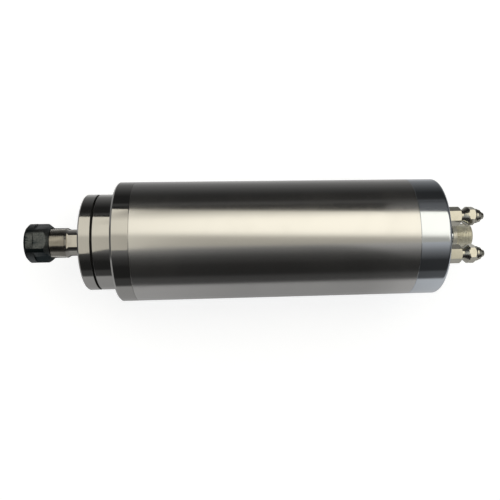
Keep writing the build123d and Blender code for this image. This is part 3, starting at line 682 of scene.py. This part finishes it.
def hex_bar(x0, x1, across, turn=0.0):
    """A hexagonal bar along the axis, with one flat facing up when it isn't turned."""
    nothing_selected()
    bpy.ops.mesh.primitive_cylinder_add(vertices=6, radius=across / math.sqrt(3) * MM,
                                        depth=(x1 - x0) * MM, rotation=(0, math.pi / 2, 0))
    bar = bpy.context.object
    bpy.ops.object.transform_apply(location=True, rotation=True, scale=True)
    return moved(bar, x=(x0 + x1) / 2, turn=turn)


def drill(x0, x1, r, steps=SMALL):
    """A plain round bar along the axis."""
    return turned("drill", [(x0, 0), (x0, r), (x1, r), (x1, 0)], steps)


# %% [markdown]
# Real edges are never quite sharp, so a narrow bevel goes on and catches the light. The last
# helper names a piece, gives it its finish and says which part of the frame it stands for.

# %% Edges and naming
def smooth(piece, sharp=30):
    only(piece)
    bpy.ops.object.shade_smooth_by_angle(angle=math.radians(sharp))
    return piece


def eased(piece, width, sharp=30, segments=2):
    """Bevels every edge sharper than this many degrees by a width in millimetres."""
    modifier = piece.modifiers.new("edges", "BEVEL")
    modifier.width = width * MM
    modifier.segments = segments
    modifier.limit_method = "ANGLE"
    modifier.angle_limit = math.radians(sharp)
    modifier.harden_normals = True
    smooth(piece, sharp)
    bpy.ops.object.modifier_apply(modifier=modifier.name)
    return piece


def finish(piece, name, body, slot, material, *nodes):
    """Names a piece, gives it its finish, and lets it stand for its CAD nodes on their body."""
    piece.name = piece.data.name = name
    piece.data.materials.clear()
    piece.data.materials.append(material)
    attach(piece, body)
    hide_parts(*nodes)
    print(name, len(piece.data.polygons), "faces")
    return piece


# %% [markdown]
# The body: a tube between the front housing and the rear cover. All three were turned to one
# diameter, and only a fine seam shows where they meet. The seam is the small bevel on both sides.

# %% Body tube
BODY_R = body_high.z / MM
TUBE_FRONT, TUBE_REAR = body_low.x / MM, body_high.x / MM
TUBE_BORE_R = BODY_R - 4.0
SEAM = 0.3

tube = turned("tube", [(TUBE_FRONT, TUBE_BORE_R), (TUBE_FRONT, BODY_R), (TUBE_REAR, BODY_R),
                       (TUBE_REAR, TUBE_BORE_R)])
eased(tube, SEAM)
finish(tube, "body_shell", "housing", "stainless", TUBE_STEEL, "body_tube")

# %% [markdown]
# Socket head screws hold the housings and the connector. A helper turns one and cuts its hexagonal
# socket, and another makes the stepped hole it sits in, with a small countersink at the face.

# %% Socket screws
M3 = (1.5, 2.75, 3.0, 2.5)      # thread radius, head radius, head height, socket across flats
M4 = (2.0, 3.5, 4.0, 3.0)
FIT = 0.05
HEAD_GAP = 0.2


def socket_screw(seat, facing, size, length):
    """A socket head screw whose head sits on seat and faces -1 or +1 along X."""
    thread, head, height, across = size
    top = seat + facing * height
    tip = seat - facing * length
    edge = 0.12 * head
    shank = thread - FIT
    screw = turned("screw", [(tip, 0), (tip, shank - 0.3), (tip + facing * 0.3, shank),
                             (seat, shank), (seat, head), (top - facing * edge, head),
                             (top, head - edge), (top, 0)], SMALL)
    ends = sorted((top + facing, top - facing * height * 0.55))
    return smooth(combine(screw, hex_bar(*ends, across)))


def screw_hole(seat, facing, size, length, face, rim=0.5):
    """The stepped hole for that screw, with a small countersink where it opens at face."""
    thread, head, height, _ = size
    wide = head + HEAD_GAP
    tip = seat - facing * (length + 0.5)
    return turned("hole", [(tip, 0), (tip, thread), (seat, thread), (seat, wide),
                           (face - facing * rim / 2, wide), (face + facing * rim / 2, wide + rim),
                           (face + facing * 3, wide + rim), (face + facing * 3, 0)], SMALL)


# %% [markdown]
# The front housing carries the bearings and steps down from the flange to the nose. Six long
# screws hold its flange to the body, sunk under the step's face, and six more reach in from the
# cap, so both sets of holes are cut here.

# %% Front housing
FLANGE_FRONT = TUBE_FRONT - 14.5
NOSE_FRONT = FLANGE_FRONT - 15.5
HOUSING_END = TUBE_FRONT + 11.0
NOSE_R = 40.0
FRONT_SEAT_R = 23.5
LIP_R = 17.45
LIP_LEN = 4.0
NOSE_EDGE, FLANGE_EDGE, CAP_EDGE = 0.6, 1.7, 1.2      # chamfers
EASE = 0.18
CAP_SCREW_CIRCLE = (FRONT_SEAT_R + NOSE_R) / 2
FLANGE_SCREW_CIRCLE = 43.0
CAP_SCREW_LEN, FLANGE_SCREW_LEN = 16, 30
CLOSE_RIM = 0.04               # the flange's holes lie too near the nose for a countersink
SLIDE = 0.02                   # gap where one piece slides in another
CAP_BACK = NOSE_FRONT - 1.3
CAP_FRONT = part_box("front_end_cap")[0].x / MM
CAP_SEAT = CAP_FRONT + 4.4
FLANGE_SEAT = FLANGE_FRONT + 3.4
cap_places = [place(30 + 60 * k, CAP_SCREW_CIRCLE) for k in range(6)]
flange_places = [place(60 * k, FLANGE_SCREW_CIRCLE) for k in range(6)]

housing = turned("housing", [
    (NOSE_FRONT, FRONT_SEAT_R), (NOSE_FRONT, NOSE_R - NOSE_EDGE), (NOSE_FRONT + NOSE_EDGE, NOSE_R),
    (FLANGE_FRONT, NOSE_R), (FLANGE_FRONT, BODY_R - FLANGE_EDGE),
    (FLANGE_FRONT + FLANGE_EDGE, BODY_R), (TUBE_FRONT - SEAM, BODY_R), (TUBE_FRONT, BODY_R - SEAM),
    (TUBE_FRONT, TUBE_BORE_R - SLIDE), (HOUSING_END, TUBE_BORE_R - SLIDE), (HOUSING_END, LIP_R),
    (HOUSING_END - LIP_LEN, LIP_R), (HOUSING_END - LIP_LEN, FRONT_SEAT_R)])
eased(housing, EASE)
hole = screw_hole(FLANGE_SEAT, -1, M3, FLANGE_SCREW_LEN, FLANGE_FRONT, CLOSE_RIM)
combine(housing, copies(hole, flange_places))
hole = screw_hole(CAP_SEAT, -1, M4, CAP_SCREW_LEN, CAP_FRONT)
combine(housing, copies(hole, cap_places))
finish(housing, "front_housing", "housing", "stainless", NOSE_STEEL, "front_bearing_housing")

# %% [markdown]
# The cap covers the bearings. A groove sets it off from the nose, and its faces that lie behind
# the cap's rim get a second, near-black material: painted shade that makes the groove read dark.

# %% Front cap
CAP_GAP_R = 12.8
CAP_CAVITY_R = 20.5
CAP_WALL = SPIGOT_LEN = 5.0
GROOVE_FLOOR_R = NOSE_R - 2.5
# Painted shade: a near-black finish stands in for the shade inside the groove.
GROOVE_PAINTED_SHADE = moulded("painted_groove_shade", (0.012, 0.012, 0.012), (0.020, 0.020, 0.019),
                       (0.60, 0.80), 900)
cap = turned("cap", [
    (CAP_FRONT, CAP_GAP_R), (CAP_FRONT, NOSE_R - CAP_EDGE), (CAP_FRONT + CAP_EDGE, NOSE_R),
    (CAP_BACK, NOSE_R), (CAP_BACK, GROOVE_FLOOR_R), (NOSE_FRONT, GROOVE_FLOOR_R),
    (NOSE_FRONT, FRONT_SEAT_R - SLIDE), (NOSE_FRONT + SPIGOT_LEN, FRONT_SEAT_R - SLIDE),
    (NOSE_FRONT + SPIGOT_LEN, CAP_CAVITY_R), (CAP_FRONT + CAP_WALL, CAP_CAVITY_R),
    (CAP_FRONT + CAP_WALL, CAP_GAP_R)])
eased(cap, EASE)
hole = screw_hole(CAP_SEAT, -1, M4, CAP_SCREW_LEN, CAP_FRONT)
combine(cap, copies(hole, cap_places))
finish(cap, "front_cap", "housing", "stainless", NOSE_STEEL, "front_end_cap")
# The faces behind the rim take the painted groove shade.
cap.data.materials.append(GROOVE_PAINTED_SHADE)
behind, outside = (CAP_BACK - 0.02) * MM, (GROOVE_FLOOR_R - 1.5) * MM
for face in cap.data.polygons:
    if face.center.x > behind and math.hypot(*face.center[1:]) > outside:
        face.material_index = 1

# %% [markdown]
# The front screws are copies of two screws, one for the cap and one for the flange.

# %% Front screws
screws = copies(socket_screw(CAP_SEAT, -1, M4, CAP_SCREW_LEN), cap_places)
finish(screws, "cap_screws", "housing", "black_screws", BLACK_SCREW, "front_cap_screws")
screws = copies(socket_screw(FLANGE_SEAT, -1, M3, FLANGE_SCREW_LEN), flange_places)
finish(screws, "flange_screws", "housing", "black_screws", BLACK_SCREW, "front_flange_screws")

# %% [markdown]
# The rear cover is a bright aluminium cup with a rounded rim. Four long screws hold it, and it is
# drilled for the two water fittings and for the leads to the connector.

# %% Rear cover
COVER_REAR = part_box("rear_cover")[1].x / MM
COVER_INSIDE = COVER_REAR - 8.0
COVER_EDGE = 3.3
CAVITY_R = BODY_R - 11.0
COVER_SEAT = COVER_REAR - 4.4
PORT_Y, PORT_Z = 16.0, 20.0
PORT_R, WATER_R = 5.0, 3.5
PILLAR_R = 8.0
PLUG_Z = -14.0
SLEEVE_BORE_R = 9.0
SLEEVE_START = COVER_REAR + 0.8
SLEEVE_SEAT = SLEEVE_START + 3.0
COVER_SCREW_LEN = 33.8
port_places = [(-PORT_Y, PORT_Z), (PORT_Y, PORT_Z)]
cover_places = [place(90 * k, TUBE_BORE_R - 3.9) for k in range(4)]
sleeve_places = [place(45 + 90 * k, 15.25) for k in range(4)]
rim = [(COVER_REAR - COVER_EDGE * (1 - math.sin(t)), BODY_R - COVER_EDGE * (1 - math.cos(t)))
       for t in (math.pi / 2 * k / 10 for k in range(11))]

cover = turned("cover", [(COVER_REAR, 0), *rim[::-1], (COVER_REAR - COVER_EDGE - 0.4, BODY_R),
                         (TUBE_REAR + SEAM, BODY_R), (TUBE_REAR, BODY_R - SEAM),
                         (TUBE_REAR, CAVITY_R), (COVER_INSIDE, CAVITY_R), (COVER_INSIDE, 0)])
eased(cover, 0.15)
pillar = drill(TUBE_REAR, COVER_INSIDE + 1, PILLAR_R)
combine(cover, copies(pillar, port_places), "UNION")
holes = copies(screw_hole(COVER_SEAT, 1, M4, COVER_SCREW_LEN, COVER_REAR), cover_places)
combine(cover, holes)
port = turned("port", [
    (TUBE_REAR - 1, 0), (TUBE_REAR - 1, 4.7), (TUBE_REAR + 0.9, 4.7), (TUBE_REAR + 0.9, WATER_R),
    (COVER_INSIDE - 1, WATER_R), (COVER_INSIDE - 1, PORT_R), (COVER_REAR - 0.4, PORT_R),
    (COVER_REAR + 0.6, PORT_R + 1), (COVER_REAR + 0.6, 0)], SMALL)
combine(cover, copies(port, port_places))
combine(cover, moved(drill(COVER_INSIDE - 1, COVER_REAR + 1, SLEEVE_BORE_R), z=PLUG_Z))
tapped = drill(SLEEVE_SEAT - 10, COVER_REAR + 1, M3[0])
combine(cover, moved(copies(tapped, sleeve_places), z=PLUG_Z))
finish(cover, "rear_cap", "housing", "aluminium_turned", COVER_ALUMINIUM, "rear_cover")
screws = copies(socket_screw(COVER_SEAT, 1, M4, COVER_SCREW_LEN), cover_places)
finish(screws, "rear_cap_screws", "housing", "black_screws", BLACK_SCREW, "rear_cover_screws")

# %% [markdown]
# A thread is cut by one tool that moves along while the shaft turns. The screw modifier does just
# that: it carries a line with one notch per pitch round the axis and forward by one pitch. The
# rough bar it makes is then trimmed by a turned blank, which gives both ends their chamfer.

# %% Threads
PITCH = 1.5
THREAD_DEPTH = 0.9
CREST, FLANK = 0.18, 0.60


def threaded_bar(blank, start, end, r):
    """Cuts a thread of radius r on a turned blank that lies between start and end."""
    root = r - THREAD_DEPTH
    corners = [(start - PITCH, root)]
    while corners[-1][0] < end + PITCH:
        x = corners[-1][0]
        corners += [(x + FLANK, r), (x + FLANK + CREST, r), (x + 2 * FLANK + CREST, root),
                    (x + PITCH, root)]
    bar = drawn("bar", corners)
    bpy.ops.object.mode_set(mode="OBJECT")
    modifier = bar.modifiers.new("screw", "SCREW")
    modifier.axis = "X"
    modifier.angle = 2 * math.pi
    modifier.screw_offset = PITCH * MM
    modifier.steps = modifier.render_steps = SMALL
    only(bar)
    bpy.ops.object.modifier_apply(modifier=modifier.name)
    bpy.ops.object.mode_set(mode="EDIT")
    merge()
    bpy.ops.mesh.fill_holes(sides=0)
    close_up()
    return combine(bar, blank, "INTERSECT")


# %% [markdown]
# The shaft shows its threaded front end, a neck with two milled flats for a wrench, and the taper
# that takes the collet. Behind the cap it grows to carry the bearings and the rotor.

# %% Shaft
THREAD_R = 12.5
NECK_R = 11.0
SHAFT_FRONT = CAP_FRONT - 40.4
THREAD_END = SHAFT_FRONT + 22.9
BEARING_END = HOUSING_END - LIP_LEN
SHOULDER_R, ROTOR_R, TAIL_R, REAR_SEAT_R = 16.35, 17.0, 11.2, 8.5
ROTOR_FRONT, ROTOR_REAR = -90.0, 76.0
REAR_SEAT = TUBE_REAR - 20
core_r = THREAD_R - THREAD_DEPTH
shaft_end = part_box("spindle_shaft")[1].x / MM
COLLET_FRONT, COLLET_END = (corner.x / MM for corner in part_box("collet"))
COLLET_R, COLLET_BORE_R = 10.5, 5.0
CONE_STEP = 1.8
CONE = CONE_STEP / math.tan(math.radians(30))
COLLET_LAND, COLLET_GROOVE = 1.5, 2.3
GROOVE = COLLET_FRONT + CONE + COLLET_LAND
TAPER = GROOVE + COLLET_GROOVE + 0.5
TAPER_END = COLLET_END + 1.5
TOOL_BORE_R = 5.6
BORE_END = TAPER_END + 32
SHARP = 28                     # degrees above which an edge of a threaded piece stays sharp


def taper_r(x):
    """The collet's radius at x, where it narrows by 8 degrees on each side."""
    return COLLET_R - (x - TAPER) * math.tan(math.radians(8))


blank = turned("blank", [(SHAFT_FRONT, 0), (SHAFT_FRONT, core_r),
                         (SHAFT_FRONT + 0.9, THREAD_R + SLIDE),
                         (THREAD_END - 0.2, THREAD_R + SLIDE), (THREAD_END + 0.5, core_r - 1),
                         (THREAD_END + 0.5, 0)], MEDIUM)
shaft = threaded_bar(blank, SHAFT_FRONT, THREAD_END, THREAD_R)
body = turned("body", [
    (SHAFT_FRONT + 2, 0), (SHAFT_FRONT + 2, core_r - 0.5), (THREAD_END - 0.8, core_r - 0.5),
    (THREAD_END, THREAD_R), (THREAD_END + 2.7, NECK_R), (CAP_FRONT + 0.5, NECK_R),
    (CAP_FRONT + 0.5, THREAD_R), (BEARING_END, THREAD_R), (BEARING_END, SHOULDER_R),
    (ROTOR_FRONT, SHOULDER_R), (ROTOR_FRONT, ROTOR_R), (ROTOR_REAR, ROTOR_R),
    (ROTOR_REAR + 2, TAIL_R), (REAR_SEAT, TAIL_R), (REAR_SEAT, REAR_SEAT_R),
    (shaft_end - 1, REAR_SEAT_R), (shaft_end, REAR_SEAT_R - 1), (shaft_end, 0)], MEDIUM)
combine(shaft, body, "UNION")
mouth = SHAFT_FRONT - 1
bore = turned("bore", [(mouth, 0), (mouth, taper_r(mouth) + FIT),
                       (TAPER_END, taper_r(TAPER_END) + FIT), (TAPER_END, TOOL_BORE_R),
                       (BORE_END, TOOL_BORE_R), (BORE_END + TOOL_BORE_R / 2, 0)], MEDIUM)
combine(shaft, bore)

FLAT_TURN = 7.0
FLAT_R = NECK_R - 1.2
for side in (0, 180):
    mill = block(THREAD_END + 1.35, CAP_FRONT, 40, 10, FLAT_R + 5)
    combine(shaft, moved(mill, turn=FLAT_TURN + side))
smooth(cleaned(shaft), SHARP)
finish(shaft, "threaded_shaft", "rotor", "shaft_steel", SHAFT_STEEL, "spindle_shaft")

# %% [markdown]
# The collet is a steel sleeve that is slit from both ends, so that it can close on the tool. The
# nut pushes on its front cone and pulls it out again by a ridge in its groove.

# %% Collet
SLIT = 0.8
SLIT_LEN = 0.8 * (COLLET_END - COLLET_FRONT)
SLIT_DEPTH = 2 * COLLET_R - 2
SLITS = ((COLLET_FRONT - 2, COLLET_FRONT + SLIT_LEN), (COLLET_END - SLIT_LEN, COLLET_END + 2))
COLLET_GROOVE_R = COLLET_R - 1.6
groove_end = GROOVE + COLLET_GROOVE

collet = turned("collet_blank", [
    (COLLET_FRONT, COLLET_BORE_R), (COLLET_FRONT, COLLET_R - CONE_STEP),
    (COLLET_FRONT + CONE, COLLET_R), (GROOVE, COLLET_R), (GROOVE, COLLET_GROOVE_R),
    (groove_end, COLLET_GROOVE_R), (groove_end, COLLET_R), (TAPER, COLLET_R),
    (COLLET_END, taper_r(COLLET_END)), (COLLET_END, COLLET_BORE_R)], MEDIUM)
eased(collet, 0.12)
for k in range(12):
    saw = block(*SLITS[k % 2], SLIT, SLIT_DEPTH, COLLET_R)
    combine(collet, moved(saw, turn=7.5 + 30 * k))
smooth(collet, SHARP)
finish(collet, "slit_collet", "collet", "collet_steel", COLLET_STEEL, "collet")

# %% [markdown]
# The nut: a round collar in front and a hexagon behind it. A real nut's hexagon is turned before
# it is milled, which leaves the curved corners. So what lies outside a hexagonal bar is cut away
# from the turned blank, but only behind the collar.

# %% Collet nut
NUT_FRONT, NUT_REAR = (corner.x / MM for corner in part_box("collet_nut"))
NUT_R = 16.2
NUT_ACROSS = 29.7
NUT_TURN = 8.0
HEX_START = NUT_FRONT + 7.4
NUT_EDGE = 2.1
NUT_BACK = NUT_R - THREAD_R - 0.3
RIDGE, RIDGE_R, RIDGE_LEN = GROOVE + 0.25, 9.1, 1.8
CAVITY = 10.72
CONE_GAP = 0.12

inside = [(NUT_REAR, THREAD_R + FIT + 0.5), (NUT_REAR - 0.6, THREAD_R + FIT),
          (SHAFT_FRONT - 0.6, THREAD_R + FIT), (SHAFT_FRONT - 0.6, CAVITY),
          (RIDGE + RIDGE_LEN, CAVITY), (RIDGE + RIDGE_LEN, RIDGE_R), (RIDGE, RIDGE_R),
          (RIDGE, COLLET_R + CONE_GAP), (COLLET_FRONT + CONE, COLLET_R + CONE_GAP),
          (COLLET_FRONT, COLLET_R - CONE_STEP + CONE_GAP),
          (NUT_FRONT, COLLET_R - CONE_STEP + CONE_GAP)]
nut = turned("nut_blank", [(NUT_FRONT, NUT_R - NUT_EDGE), (NUT_FRONT + NUT_EDGE, NUT_R),
                           (NUT_REAR - NUT_BACK, NUT_R), (NUT_REAR, THREAD_R + 0.9), *inside],
             GOOD)
waste = turned("nut_waste", [(HEX_START, NUT_R - 4), (HEX_START, NUT_R + 3),
                             (NUT_REAR + 2, NUT_R + 3), (NUT_REAR + 2, NUT_R - 4)], GOOD)
combine(waste, hex_bar(HEX_START - 1, NUT_REAR + 3, NUT_ACROSS, NUT_TURN))
combine(nut, waste)
eased(nut, 0.25, sharp=35)
finish(nut, "clamping_nut", "collet_nut", "black_oxide", NUT_BLACK, "collet_nut")

# %% [markdown]
# Two water fittings: a long hexagon screwed in the cover, a neck, a flared collar, and a nipple
# for the hose. A union nut clamps the hose. Each is modelled once and copied to both sides.

# %% Water fittings
HEX_FRONT = COVER_REAR + 1.0
ACROSS = 14.0
CORNER = ACROSS / math.sqrt(3)
STUD_R, FITTING_NECK_R, FLARE_R, STUB_R, NIPPLE_R, BORE_R = 4.95, 5.3, 8.0, 6.05, 4.2, 2.0
NECK_START = HEX_FRONT + 15.9
FLARE_START = NECK_START + 2.1
FLARE_END = FLARE_START + 3.4
STUB_START = FLARE_END + 1.0
NIPPLE_START = STUB_START + 7.6
NIPPLE_END = NIPPLE_START + 6.4
UNION_START = STUB_START + 0.3
UNION_CONE = UNION_START + 4.2
UNION_END = UNION_CONE + 6.2
UNION_TURN = 8.0


def hexagonal(piece, start, end, across, turn=0.0):
    """Mills a hexagon on a turned piece between start and end."""
    waste = turned("waste", [(start, across / 4 + 1.5), (start, across), (end, across),
                             (end, across / 4 + 1.5)], SMALL)
    combine(waste, hex_bar(start - 1, end + 1, across, turn))
    return combine(piece, waste)


fitting = turned("fitting", [
    (COVER_INSIDE + 0.5, BORE_R), (COVER_INSIDE + 0.5, STUD_R), (HEX_FRONT, STUD_R),
    (HEX_FRONT, CORNER - 0.7), (HEX_FRONT + 0.5, CORNER), (NECK_START - 0.8, CORNER),
    (NECK_START, CORNER - 1.4), (NECK_START, FITTING_NECK_R), (FLARE_START, FITTING_NECK_R),
    (FLARE_END, FLARE_R), (STUB_START, FLARE_R), (STUB_START, STUB_R), (NIPPLE_START, STUB_R),
    (NIPPLE_START, NIPPLE_R), (NIPPLE_START + 3.2, NIPPLE_R), (NIPPLE_END, BORE_R + 0.6),
    (NIPPLE_END, BORE_R)], FAIR)
hexagonal(fitting, HEX_FRONT, NECK_START, ACROSS)
eased(fitting, 0.15, sharp=25)

hose_nut = turned("hose_nut", [
    (UNION_START, STUB_R + 0.1), (UNION_START, CORNER - 0.5), (UNION_START + 0.5, CORNER),
    (UNION_CONE, CORNER), (UNION_CONE + 2, CORNER - 1.8), (UNION_END, 5.2),
    (UNION_END, NIPPLE_R + 0.4), (NIPPLE_START + 0.6, NIPPLE_R + 0.4),
    (NIPPLE_START + 0.6, STUB_R + 0.1)], FAIR)
hexagonal(hose_nut, UNION_START - 1, UNION_END + 1, ACROSS, UNION_TURN)
eased(hose_nut, 0.12, sharp=25)

for name, (y, z) in zip(("inlet", "outlet"), reversed(port_places)):
    finish(copied(fitting, y, z), f"{name}_fitting", "housing", "nickel", NICKEL,
           f"water_{name}_body")
    finish(copied(hose_nut, y, z), f"{name}_hose_nut", f"{name}_nut", "nickel", NICKEL,
           f"water_{name}_nut")
for pattern in (fitting, hose_nut):
    bpy.data.objects.remove(pattern)

# %% [markdown]
# The power connector stands between the fittings on a raised sleeve: a plain ring, then a barrel
# with a fine thread for the plug's screw ring, and four gold pins in a dark insert. The sleeve
# comes first.

# %% Connector sleeve
SLEEVE_FLANGE_R, SLEEVE_R = 18.5, 12.0
SLEEVE_SCREW_LEN = 9
SHELL_START = SLEEVE_START + 19.4
BARREL_START = SHELL_START + 3.8
SHELL_END = BARREL_START + 14.8
SHELL_R = 11.0
INSERT_END = SHELL_END - 10.0
INSERT_START = INSERT_END - 16.0

sleeve = turned("sleeve", [
    (SLEEVE_START, SLEEVE_BORE_R), (SLEEVE_START, SLEEVE_FLANGE_R), (SLEEVE_SEAT, SLEEVE_FLANGE_R),
    (SLEEVE_SEAT, SLEEVE_R), (SHELL_START, SLEEVE_R), (SHELL_START, SLEEVE_BORE_R)], MEDIUM)
eased(sleeve, 0.2)
combine(sleeve, copies(drill(SLEEVE_START - 1, SLEEVE_SEAT + 1, M3[0]), sleeve_places))
finish(moved(sleeve, z=PLUG_Z), "plug_sleeve", "housing", "aluminium_turned", COVER_ALUMINIUM,
       "connector_sleeve")
screws = copies(socket_screw(SLEEVE_SEAT, 1, M3, SLEEVE_SCREW_LEN), sleeve_places)
finish(moved(screws, z=PLUG_Z), "plug_sleeve_screws", "housing", "zinc_screws", ZINC_SCREW,
       "connector_sleeve_screws")

# %% [markdown]
# The barrel's thread is cut like the shaft's, and a plain ring stands behind it.

# %% Connector barrel
RING_R, INSERT_R = 12.4, 7.0
SPIGOT_R = SLEEVE_BORE_R - SLIDE
PIN_R, PIN_CIRCLE = 1.25, 5.0

blank = turned("blank", [(BARREL_START + 0.6, 0), (BARREL_START + 0.6, 9.9),
                         (BARREL_START + 1.4, SHELL_R + 0.02), (SHELL_END - 0.9, SHELL_R + 0.02),
                         (SHELL_END, 10.2), (SHELL_END, 0)], MEDIUM)
barrel = threaded_bar(blank, BARREL_START, SHELL_END, SHELL_R)
body = turned("body", [
    (INSERT_START - 1, 0), (INSERT_START - 1, SPIGOT_R), (SHELL_START, SPIGOT_R),
    (SHELL_START, RING_R - 0.2), (SHELL_START + 0.2, RING_R), (BARREL_START - 0.2, RING_R),
    (BARREL_START, RING_R - 0.2), (BARREL_START, 10.05), (SHELL_END - 1.2, 9.7),
    (SHELL_END - 1.2, 0)], MEDIUM)
combine(barrel, body, "UNION")
bore = turned("bore", [(INSERT_START - 2, 0), (INSERT_START - 2, INSERT_R),
                       (SHELL_END - 0.6, INSERT_R), (SHELL_END + 0.5, INSERT_R + 1.1),
                       (SHELL_END + 0.5, 0)], MEDIUM)
smooth(cleaned(combine(barrel, bore)), SHARP)
finish(moved(barrel, z=PLUG_Z), "plug_barrel", "housing", "connector_nickel", MATT_NICKEL,
       "connector_shell")

# %% [markdown]
# The dark insert fills the barrel's back half, and the four gold pins stick out of it.

# %% Connector insert and pins
insert = turned("insert", [(INSERT_START, 0), (INSERT_START, INSERT_R - SLIDE),
                           (INSERT_END - 0.4, INSERT_R - SLIDE), (INSERT_END, INSERT_R - 0.4),
                           (INSERT_END, 0)], FAIR)
pin_places = [place(45 + 90 * k, PIN_CIRCLE) for k in range(4)]
hole = drill(INSERT_START - 1, INSERT_END + 1, PIN_R + SLIDE, TINY)
smooth(combine(insert, copies(hole, pin_places)))
finish(moved(insert, z=PLUG_Z), "plug_insert", "housing", "insulator", INSULATOR,
       "connector_insert")
pin = turned("pin", [(INSERT_START - 2, 0), (INSERT_START - 2, 0.92), (INSERT_START - 5, 0.92),
                     (INSERT_START - 5, PIN_R), (INSERT_END + 5.9, PIN_R),
                     (INSERT_END + 6.5, 0.85), (INSERT_END + 6.5, 0)], TINY)
smooth(pin)
finish(moved(copies(pin, pin_places), z=PLUG_Z), "plug_pins", "housing", "contact_gold", GOLD,
       "connector_contacts")

# %% [markdown]
# What is left of the frame shows only when the spindle is taken apart, and its shapes are right as
# they are. Those nodes keep their meshes and get the finish of their material slot.

# %% Finishes of the carried-over nodes
FINISHES = {
    "stainless": NOSE_STEEL, "aluminium_turned": COVER_ALUMINIUM,
    "aluminium_inner": INNER_ALUMINIUM, "steel_inner": INNER_STEEL,
    "black_screws": BLACK_SCREW, "zinc_screws": ZINC_SCREW,
    "seal_rubber": RUBBER, "lamination": LAMINATION, "copper": COPPER,
    "bearing_steel": BEARING_STEEL, "shaft_steel": SHAFT_STEEL, "collet_steel": COLLET_STEEL,
    "black_oxide": NUT_BLACK, "nickel": NICKEL, "connector_nickel": MATT_NICKEL,
    "insulator": INSULATOR, "contact_gold": GOLD, "lead_insulation": LEAD, "cage_resin": CAGE}
slots = {part["node"]: part["material_slot"] for part in frame["record"]["subparts"]}
for name, item in frame["nodes"].items():
    finish_here = VARNISH if name == "stator_winding" else FINISHES[slots[name]]
    item.data.materials.clear()
    item.data.materials.append(finish_here)
print("carried over", sum(not item.hide_render for item in frame["nodes"].values()), "nodes")

# %% [markdown]
# The last cell measures the box of what shows and prints its size beside the frame's own box.

# %% Sizes and finish
visual_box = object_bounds()
boxes = {"cad": cad_box, "visual": [list(corner) for corner in visual_box]}
for name, (low, high) in boxes.items():
    print(name, "size in mm", [round((b - a) / MM, 1) for a, b in zip(low, high)])
